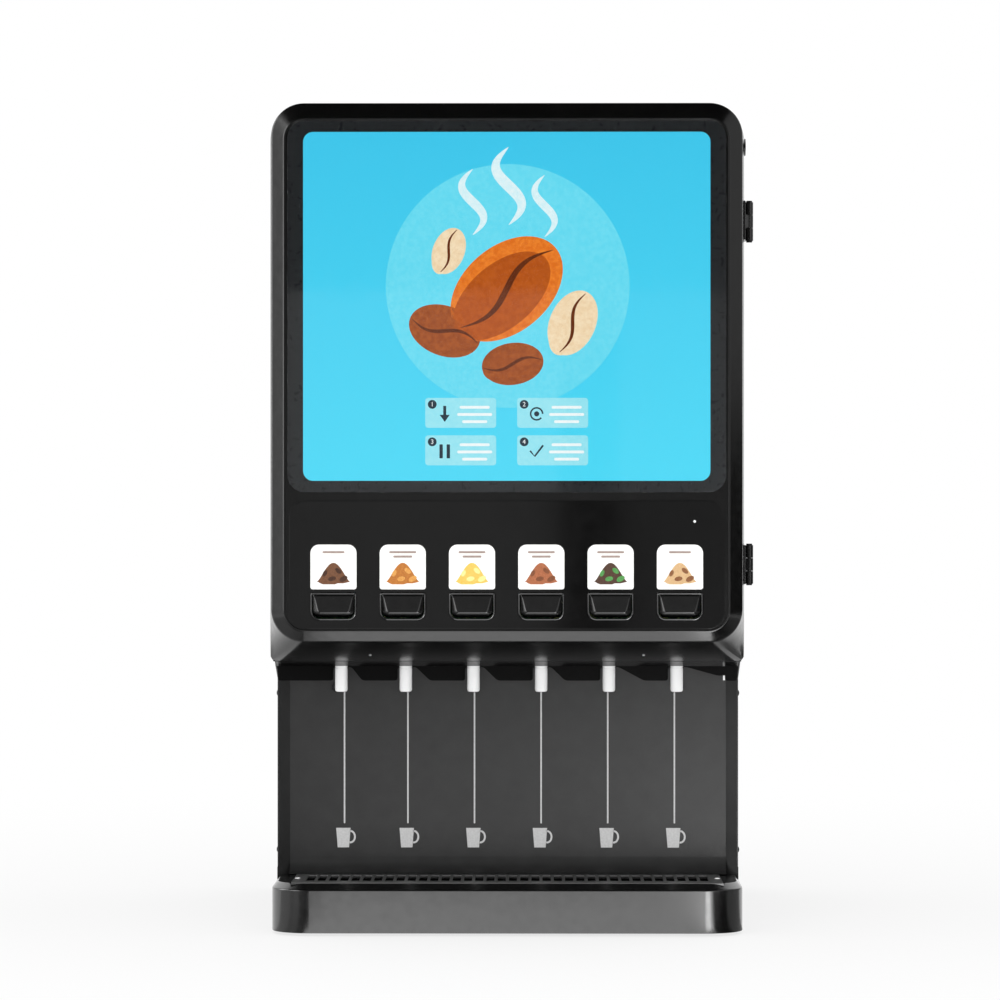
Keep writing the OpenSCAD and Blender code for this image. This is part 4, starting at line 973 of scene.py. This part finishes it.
def build_base():
    s = Shape()
    loops = [s.level(base_plan(side, front), z) for side, front, z in base_rings()]
    s.skin(loops)
    well = [s.level(rectangle(*WELL), z) for z in (DECK_Z, WELL_Z)]
    s.skin(well)
    s.bm.faces.new(well[1])
    s.fill(loops[-1], well[0])
    hollow = [s.level(base_plan(BASE_WALL, BASE_WALL, BASE_WALL), z) for z in (BASE_Z, CEILING_Z)]
    s.fill(loops[0], hollow[0])
    s.skin(hollow)
    half, d0, d1 = WELL
    box = rectangle(half + BASE_WALL, d0 - BASE_WALL, d1 + BASE_WALL)
    box_loops = [s.level(box, z) for z in (CEILING_Z, WELL_FOOT_Z)]
    s.skin(box_loops)
    ceiling_holes = [box_loops[0]]
    box_holes = []
    for x in (-POST_X, POST_X):
        for d, top_z, holes in (
            (POST_FRONT_D, WELL_FOOT_Z, box_holes),
            (POST_BACK_D, CEILING_Z, ceiling_holes),
        ):
            post = [s.level(ellipse(x, d, POST_R, POST_R, 0, 32), z) for z in (top_z, BASE_Z)]
            s.skin(post)
            s.fill(post[1])
            holes.append(post[0])
    s.fill(hollow[1], *ceiling_holes)
    s.fill(box_loops[1], *box_holes)
    back_half = UPSTAND_HALF - COLUMN_WALL
    s.block(-back_half, back_half, BASE_BACK_D - COLUMN_WALL, BASE_BACK_D, WALL_TOP_Z, COLUMN_Z)
    s.piece("base_body", base_gray, "cabinet", ["base_shell"], angle=30, weld=False)


def build_column_feet():
    s = Shape()
    inside = UPSTAND_HALF - COLUMN_WALL
    wedge = [
        (SPLASH_HALF, SPLASH_D),
        (WEDGE_HALF, SPLASH_D - 10),
        (UPSTAND_HALF, SPLASH_D - 11),
        (UPSTAND_HALF, BASE_BACK_D),
        (inside, BASE_BACK_D),
        (inside, SPLASH_D + SPLASH_FOOT_T),
        (SPLASH_HALF, SPLASH_D + SPLASH_FOOT_T),
    ]
    for sign in (1, -1):
        plan = [(sign * x, d) for x, d in wedge]
        s.prism(s.level(plan, WALL_TOP_Z), s.level(plan, COLUMN_Z))
    s.piece("column_feet", splash_paint, "cabinet")


build_base()
build_column_feet()

# Drip grille: a slotted sheet with a turned-down edge, and a rivet at each end

GRILLE = (219, 55, 151.5)
GRILLE_FOOT_Z = 49
GRILLE_TOP_Z = 53
GRILLE_EDGE = 0.7
SHEET_FOOT_Z = 51.8
SKIRT_T = 1.5
SLOTS = 36
SLOT_PITCH = 11.5
SLOT_X = [(k - (SLOTS - 1) / 2) * SLOT_PITCH for k in range(SLOTS)]
SLOT_W = 8.3
SLOT_R = 1.2
SLOT_D = (77.4, 139.4)
RIVET_X = 215
RIVET_D = 104
RIVET = [(2.8, -0.5), (2.8, 0.2), (2.5, 0.6), (1.6, 0.8), (0.2, 0.85)]


def sheet_plan(inset):
    half, d0, d1 = GRILLE
    return rectangle(half - inset, d0 + inset, d1 - inset)


def slot_plan(x, grow):
    return trace(grown(outline(SLOT_W / 2, *SLOT_D, SLOT_R, mid=x), grow), 4)


def grille_wall(s, plan, foot_z):
    """Wall from foot_z up to a rounded top edge; plan gives its points at each inset of that edge."""
    loops = [s.level(plan(0), foot_z)]
    loops += [s.level(plan(inset), GRILLE_TOP_Z - drop) for inset, drop in soft_edge(GRILLE_EDGE)]
    s.skin(loops)
    return loops[0], loops[-1]


def build_grille():
    s = Shape()
    foot, top = grille_wall(s, sheet_plan, GRILLE_FOOT_Z)
    skirt = [s.level(sheet_plan(SKIRT_T), z) for z in (GRILLE_FOOT_Z, SHEET_FOOT_Z)]
    s.fill(foot, skirt[0])
    s.skin(skirt)
    slots = [grille_wall(s, lambda grow, x=x: slot_plan(x, grow), SHEET_FOOT_Z) for x in SLOT_X]
    s.fill(top, *(slot[1] for slot in slots))
    s.fill(skirt[1], *(slot[0] for slot in slots))
    # The grille's grey finish is painted light, lightened to offset the shade under the door.
    s.piece("grille_body", grille_black, "drip_grille", ["drip_grille"])
    s = Shape()
    for x in (-RIVET_X, RIVET_X):
        s.turned(RIVET, (x, RIVET_D, GRILLE_TOP_Z), "z", 24)
    s.piece("grille_rivets", white_plastic, "drip_grille")


build_grille()

# Spouts, with a rolled lip and a fine groove under the collar

SPOUT_D = 99
SPOUT_R = 6.4
SPOUT_NECK_R = 4.3
SPOUT_TIP_Z = 244.6
SPOUT_TOP_Z = 272
SPOUT_NECK_H = 10
GROOVE = 0.35
# Radius, and height above the tip or the top
SPOUT_BORE = [(0.2, 16), (3.4, 15), (3.5, 1)]
SPOUT_LIP = [(3.9, 0.2), (4.5, 0), (5.3, 0.25), (6, 1), (SPOUT_R, 2.2)]
SPOUT_COLLAR = [
    (SPOUT_R, -3.4),
    (SPOUT_R - GROOVE, -3.1),
    (SPOUT_R - GROOVE, -2.5),
    (SPOUT_R, -2.2),
    (SPOUT_R, -0.5),
    (SPOUT_R - 0.5, 0),
    (SPOUT_NECK_R, 0),
    (SPOUT_NECK_R, SPOUT_NECK_H),
]
SPOUT_PROFILE = [(r, SPOUT_TIP_Z + up) for r, up in SPOUT_BORE + SPOUT_LIP]
SPOUT_PROFILE += [(r, SPOUT_TOP_Z + up) for r, up in SPOUT_COLLAR]

s = Shape()
for x in SPOUT_X:
    s.turned(SPOUT_PROFILE, (x, SPOUT_D, 0), "z", 40)
s.piece("spout_set", white_plastic, "cabinet", ["spouts"])

# Fill lines and cup signs printed on the splash panel

PRINT_D = SPLASH_D - 0.1
LINE_HALF = 0.8
LINE_TOP_Z = 241
LINE_FOOT_Z = 104.4
CUP_SHIFT = -1.2
CUP_TOP_Z = 99.6
CUP_FOOT_Z = 79.3
CUP_TOP_HALF = 7.5
CUP_FOOT_HALF = 5.9
HANDLE_X = 7.4
HANDLE_DROP = 9.2
HANDLE_HALVES = (4.6, 5.9)
HANDLE_W = 1.9
HANDLE_ANGLE = 100
HANDLE_STEPS = 20

handle_arc = arc(0, 0, 1, -HANDLE_ANGLE, HANDLE_ANGLE, HANDLE_STEPS)
s = Shape()
for x in SPOUT_X:
    s.flat(trace(outline(LINE_HALF, LINE_FOOT_Z, LINE_TOP_Z, 0.4, mid=x), 3), PRINT_D)
    cup_x = x + CUP_SHIFT
    foot = [(cup_x - CUP_FOOT_HALF, CUP_FOOT_Z), (cup_x + CUP_FOOT_HALF, CUP_FOOT_Z)]
    s.flat(foot + [(cup_x + CUP_TOP_HALF, CUP_TOP_Z), (cup_x - CUP_TOP_HALF, CUP_TOP_Z)], PRINT_D)
    wide, tall = HANDLE_HALVES
    handle = [(cup_x + HANDLE_X + wide * u, CUP_TOP_Z - HANDLE_DROP + tall * v) for u, v in handle_arc]
    s.strip(*even(handle, HANDLE_W), PRINT_D)
s.piece("splash_print", print_gray, "cabinet")

# Valance behind the spouts, the hood that slopes down to them, and a small white tab at the ledge

VALANCE_D = 107
VALANCE_T = 1.5
VALANCE_HALF = 235.5
VALANCE_Z = (255.6, 277)
VALANCE_R = 3
NOTCH_TOP_Z = 269.6
NOTCH_SIDES = (8.6, 10)
SLANTS = [11, 14.5, 14.5, 14.5, 26, 32]
LEDGE_LEN = 8
LEDGE_Z = 260.8
HOOD = [(66, 277), (74, 276.5), (90.5, 271.1), (90.5, 277)]
HOOD_R = 0.4
TAB_X = 222
TAB_HALF = 1
TAB_Z = (256, 261)


def valance_outline():
    low, high = VALANCE_Z
    left, right = NOTCH_SIDES
    points = [(-VALANCE_HALF, high), (-VALANCE_HALF, low)]
    for x, slant in zip(SPOUT_X, SLANTS):
        foot = x + right + slant
        points += [(x - left, low), (x - left, NOTCH_TOP_Z), (x + right, NOTCH_TOP_Z)]
        if x == SPOUT_X[-1]:
            points += [(foot, LEDGE_Z), (foot + LEDGE_LEN, LEDGE_Z), (foot + LEDGE_LEN, low)]
        else:
            points.append((foot, low))
    return points + [(VALANCE_HALF, low), (VALANCE_HALF, high)]


s = Shape()
s.flat(eased(valance_outline(), VALANCE_R), VALANCE_D, VALANCE_T)
s.piece("valance_face", matt_black, "cabinet", ["spout_valance"])

s = Shape()
s.prism(*(s.ring([(x, d, z) for d, z in eased(HOOD, HOOD_R)]) for x in (-VALANCE_HALF, VALANCE_HALF)))
s.piece("valance_hood", black_paint, "cabinet")

s = Shape()
s.block(TAB_X - TAB_HALF, TAB_X + TAB_HALF, VALANCE_D - 0.5, VALANCE_D + 1, *TAB_Z, 0.3)
s.piece("valance_tab", white_plastic, "cabinet")

# Chin screws, set square to the rounded chin, and the plug on the door's side

CHIN_SCREW_X = 138
CHIN_SHARE = 0.6
CHIN_SCREW = [(0.5, -0.5), (0.6, -0.8), (1.1, -0.8), (1.4, -0.5), (1.4, 0.6)]
CHIN_DROP = RIDGE.z0 - BACK.z0
CHIN_DEPTH = DOOR_D - RIDGE_D
CHIN_TILT = atan2(CHIN_DROP + 4 * CHIN_BULGE * (1 - 2 * CHIN_SHARE), CHIN_DEPTH)
PLUG_Z = 796.6
PLUG_D = 40
PLUG_R = 8.75
PLUG_OUT = 0.8
PLUG = [
    (PLUG_R / 2, -0.6),
    (PLUG_R / 2, 0),
    (PLUG_R - 0.3, 0),
    (PLUG_R, 0.3),
    (PLUG_R, 0.7),
    (PLUG_R - 0.5, 1.1),
    (PLUG_R - 2, 1.2),
    (PLUG_R - 2.6, 0.9),
]

s = Shape()
for x in (-CHIN_SCREW_X, CHIN_SCREW_X):
    screw_z = RIDGE.z0 - CHIN_SHARE * CHIN_DROP - chin_sag(CHIN_SHARE)
    spot = (x, RIDGE_D + CHIN_SHARE * CHIN_DEPTH, screw_z)
    start = len(s.bm.verts)
    s.turned(CHIN_SCREW, spot, "z", 28)
    s.bm.verts.ensure_lookup_table()
    tilt = Matrix.Rotation(-CHIN_TILT, 3, "X")
    bmesh.ops.rotate(s.bm, cent=place(*spot), matrix=tilt, verts=s.bm.verts[start:])
s.piece("chin_screws", steel, "door", ["door_screws"])

s = Shape()
side_x = RIDGE.half + (BACK.half - RIDGE.half) * (PLUG_D - RIDGE_D) / CHIN_DEPTH
s.turned(PLUG, (side_x + PLUG_OUT, PLUG_D, PLUG_Z), "x", 40)
s.piece("side_plug", black_plastic, "door")

# CAD nodes that keep their shape: finish, edge width and names

WELD_WIDE = 0.01
FLAT_ANGLE = 0.5
EACH_STATION = range(1, STATIONS + 1)
PAINTED = ["left_side_panel", "right_side_panel", "top_cover", "back_panel", "door_liner"]
DRESSED = [
    (cabinet_paint, 0.3, PAINTED),
    (black_paint, 0.3, ["cabinet_floor"]),
    (splash_paint, 0.3, ["splash_panel"]),
    (rubber, 0.5, ["rubber_feet"]),
    (steel, 0.3, ["mixer_plate"]),
    (steel, 0.5, ["water_tank"]),
    (black_screw, 0.3, ["column_screws", "hinge_pins"]),
    (black_plastic, 0.3, ["cabinet_hinge_leaves", "door_hinge_leaves"]),
    (black_plastic, 0.4, ["cord_gland", "drip_tray"]),
    (white_plastic, 0.4, ["light_box"]),
    (white_plastic, 0.5, ["water_valves"]),
    (motor_gray, 0.6, ["auger_motors", "whipper_motors"]),
    (brass, 0.4, ["inlet_valve"]),
    (board_green, 0.3, ["control_board"]),
    (board_green, 0, ["switch_board"]),
    (hopper_clear, 0, ["hoppers"]),
    (bowl_gray, 0, ["mixing_bowls"]),
    (bowl_gray, 0.5, [f"flap_{i}" for i in EACH_STATION]),
    (amber_plastic, 0, [f"{kind}_{i}" for kind in ("auger", "impeller") for i in EACH_STATION]),
]


def dress(node, finish, edge):
    """Gives a CAD node its finish and, where edge isn't 0, softened edges."""
    obj = NODES[node]
    obj.data.materials.clear()
    obj.data.materials.append(finish.material)
    if edge:
        add_modifier(obj, "WELD", merge_threshold=WELD_WIDE * MM)
        add_modifier(obj, "DECIMATE", decimate_type="DISSOLVE", angle_limit=radians(FLAT_ANGLE))
        bevel = {"limit_method": "ANGLE", "angle_limit": radians(SMOOTH_ANGLE)}
        add_modifier(obj, "BEVEL", width=edge * MM, segments=2, **bevel)
        add_modifier(obj, "WEIGHTED_NORMAL", keep_sharp=True)


for finish, edge, nodes in DRESSED:
    for node in nodes:
        dress(node, finish, edge)

# Studio, in metres: white floor that keeps the shadow, even light, and cards that only reflections see

FLOOR_HALF = 40
WHITE_FROM = 0.5
WHITE_TO = 2
SHADOW_SHARE = 0.25


def stage_plane(name, corners, material):
    mesh = bpy.data.meshes.new(name)
    mesh.from_pydata([Vector(c) for c in corners], [], [tuple(range(len(corners)))])
    mesh.materials.append(material)
    obj = add_object(name, mesh)
    return obj


def show(tree, surface):
    tree.links.new(surface, tree.nodes["Material Output"].inputs["Surface"])


def floor_material():
    """Matt white near the object, where it shows the shadow, and plain white further out.

    The plain white is for what the camera, gloss and glass see; all other light finds a matt floor.
    """
    material = new_material("floor_white")
    tree = material.node_tree
    matt = tree.nodes["Principled BSDF"]
    matt.inputs["Base Color"].default_value = (0.92, 0.92, 0.92, 1)
    matt.inputs["Roughness"].default_value = 0.9
    matt.inputs["Specular IOR Level"].default_value = 0
    white = add_node(tree, "Emission", "Emission", {"Color": (1, 1, 1, 1)})
    where = add_node(tree, "TexCoord", "Object", {})
    away = add_node(tree, "VectorMath", "Value", {0: where}, operation="LENGTH")
    limits = {"Value": away, "From Min": WHITE_FROM, "From Max": WHITE_TO, "To Min": 1 - SHADOW_SHARE}
    share = add_node(tree, "MapRange", "Result", limits, interpolation_type="SMOOTHSTEP")
    rays = tree.nodes.new("ShaderNodeLightPath").outputs
    seen = rays["Is Camera Ray"]
    for name in ("Is Glossy Ray", "Is Transmission Ray"):
        seen = add_node(tree, "Math", "Value", {0: seen, 1: rays[name]}, operation="MAXIMUM")
    direct = add_node(tree, "Math", "Value", {0: share, 1: seen}, operation="MULTIPLY")
    show(tree, add_node(tree, "MixShader", "Shader", {"Fac": direct, 1: matt.outputs["BSDF"], 2: white}))
    return material


def upright(x0, x1, y, z0, z1):
    return [(x0, y, z0), (x1, y, z0), (x1, y, z1), (x0, y, z1)]


def beside(x, y0, y1, z0, z1):
    return [(x, y0, z0), (x, y1, z0), (x, y1, z1), (x, y0, z1)]


def flat_at(x0, x1, y0, y1, z):
    return [(x0, y0, z), (x1, y0, z), (x1, y1, z), (x0, y1, z)]


def fan_at(side, near, start, stop):
    """Card on the floor ahead of a front corner of the base, between two bearings from straight ahead."""
    corners = []
    for reach, angle in ((near, start), (FAN_REACH, start), (FAN_REACH, stop), (near, stop)):
        a = radians(angle)
        corners.append((side * (FAN_X + reach * sin(a)), FAN_Y - reach * cos(a), FAN_Z))
    return corners


def reflection_card(name, corners, level):
    """Card of one grey that shows in reflections alone."""
    material = new_material(name)
    tree = material.node_tree
    show(tree, add_node(tree, "Emission", "Emission", {"Strength": level}))
    obj = stage_plane(name, corners, material)
    setup(obj, visible_camera=False, visible_diffuse=False, visible_shadow=False)


def aim(obj, spot, target):
    obj.location = spot
    obj.rotation_mode = "QUATERNION"
    obj.rotation_quaternion = (Vector(target) - Vector(spot)).to_track_quat("-Z", "Y")


def soft_lamp(name, spot, target, size, power):
    """Area lamp that lights the object without showing in its gloss."""
    wide, tall = size
    data = setup(bpy.data.lights.new(name, "AREA"), shape="RECTANGLE", size=wide, size_y=tall, energy=power)
    obj = setup(add_object(name, data), visible_glossy=False, visible_transmission=False)
    aim(obj, spot, target)


PATCH_Z = 0.0005
FRONT_EDGE = [(0.2, -0.252), (0.2145, -0.262), (0.2145, -0.312), (0.208, -0.322), (0.24, -0.9)]
FRONT_PATCH = [(x, y, PATCH_Z) for x, y in mirrored(FRONT_EDGE)]
CARDS = [
    ("card_front", upright(-2.8, 2.8, -5.4, 0, 3.6), 0.05),
    ("card_top", flat_at(-3, 3, -3.2, 2.4, 2.6), 0.01),
    ("card_top_front", flat_at(-3, 3, -6.4, -3.2, 2.6), 0.3),
    ("strip_left", beside(-1.85, -0.25, 0.4, 0.3, 2.2), 4),
    ("strip_left_front", beside(-1.85, -2.4, -1, 0.3, 2.2), 3),
    ("card_left", beside(-1.9, -2.4, 2, 0.002, 2.6), 0.7),
    ("card_right", beside(1.7, -1.6, 1.6, 0.002, 0.55), 0.02),
    ("card_right_high", beside(1.7, -1.6, 1.6, 0.55, 2.6), 0.45),
    ("glow_left", upright(-0.64, 0.08, -5.3, 0, 0.9), 0.36),
    ("glow_right", upright(0.21, 0.6, -5.3, 0, 0.9), 0.25),
    ("floor_dark", flat_at(-2.8, 2.8, -5.4, -3, PATCH_Z), 0.03),
    ("floor_front", FRONT_PATCH, 1.8),
]
FAN_X, FAN_Y = 0.1995, -0.21
FAN_Z = 0.001
FAN_REACH = 1.2
# Side, name, nearest reach, two bearings and level
FANS = [
    (-1, "flag_left", 0.115, 4, 16, 0.05),
    (-1, "flag_left_near", 0.041, 13, 16, 0.05),
    (-1, "flag_left_mid", 0.041, 16, 32, 0.12),
    (-1, "flag_left_wide", 0.041, 32, 60, 0.34),
    (-1, "flag_left_side", 0.041, 60, 95, 0.5),
    (1, "strip_right_near", 0.09, 1, 5, 3),
    (1, "strip_right", 0.09, 5, 18, 7),
    (1, "strip_right_far", 0.09, 18, 24, 3),
    (1, "flag_right", 0.041, 26, 68, 0.02),
    (1, "flag_right_wide", 0.041, 68, 125, 0.25),
]

stage_plane("floor", flat_at(-FLOOR_HALF, FLOOR_HALF, -FLOOR_HALF, FLOOR_HALF, 0), floor_material())
for name, corners, level in CARDS:
    reflection_card(name, corners, level)
for side, name, near, start, stop, level in FANS:
    reflection_card(name, fan_at(side, near, start, stop), level)
soft_lamp("key", (-1.5, -2.6, 1.9), (0, -0.1, 0.35), (1.4, 1.4), 8)
soft_lamp("fill", (0.3, -3.2, 0.35), (0, -0.2, 0.25), (1.8, 0.5), 26)

world = bpy.data.worlds.new("studio")
bpy.context.scene.world = world
world.use_nodes = True
sky = world.node_tree.nodes["Background"]
sky.inputs["Color"].default_value = (1, 1, 1, 1)
sky.inputs["Strength"].default_value = 1

# Camera: level and almost straight on, from a little to the right

CAMERA_Z = 0.4408
CAMERA_SPOT = (0.03, -4.49, CAMERA_Z)
CAMERA_TARGET = (-0.00665, -0.29, CAMERA_Z)

camera_data = setup(bpy.data.cameras.new("camera"), sensor_width=36, lens=151.2, clip_end=200)
camera = add_object("camera", camera_data)
aim(camera, CAMERA_SPOT, CAMERA_TARGET)
bpy.context.scene.camera = camera
bpy.context.scene.view_settings.view_transform = "Standard"
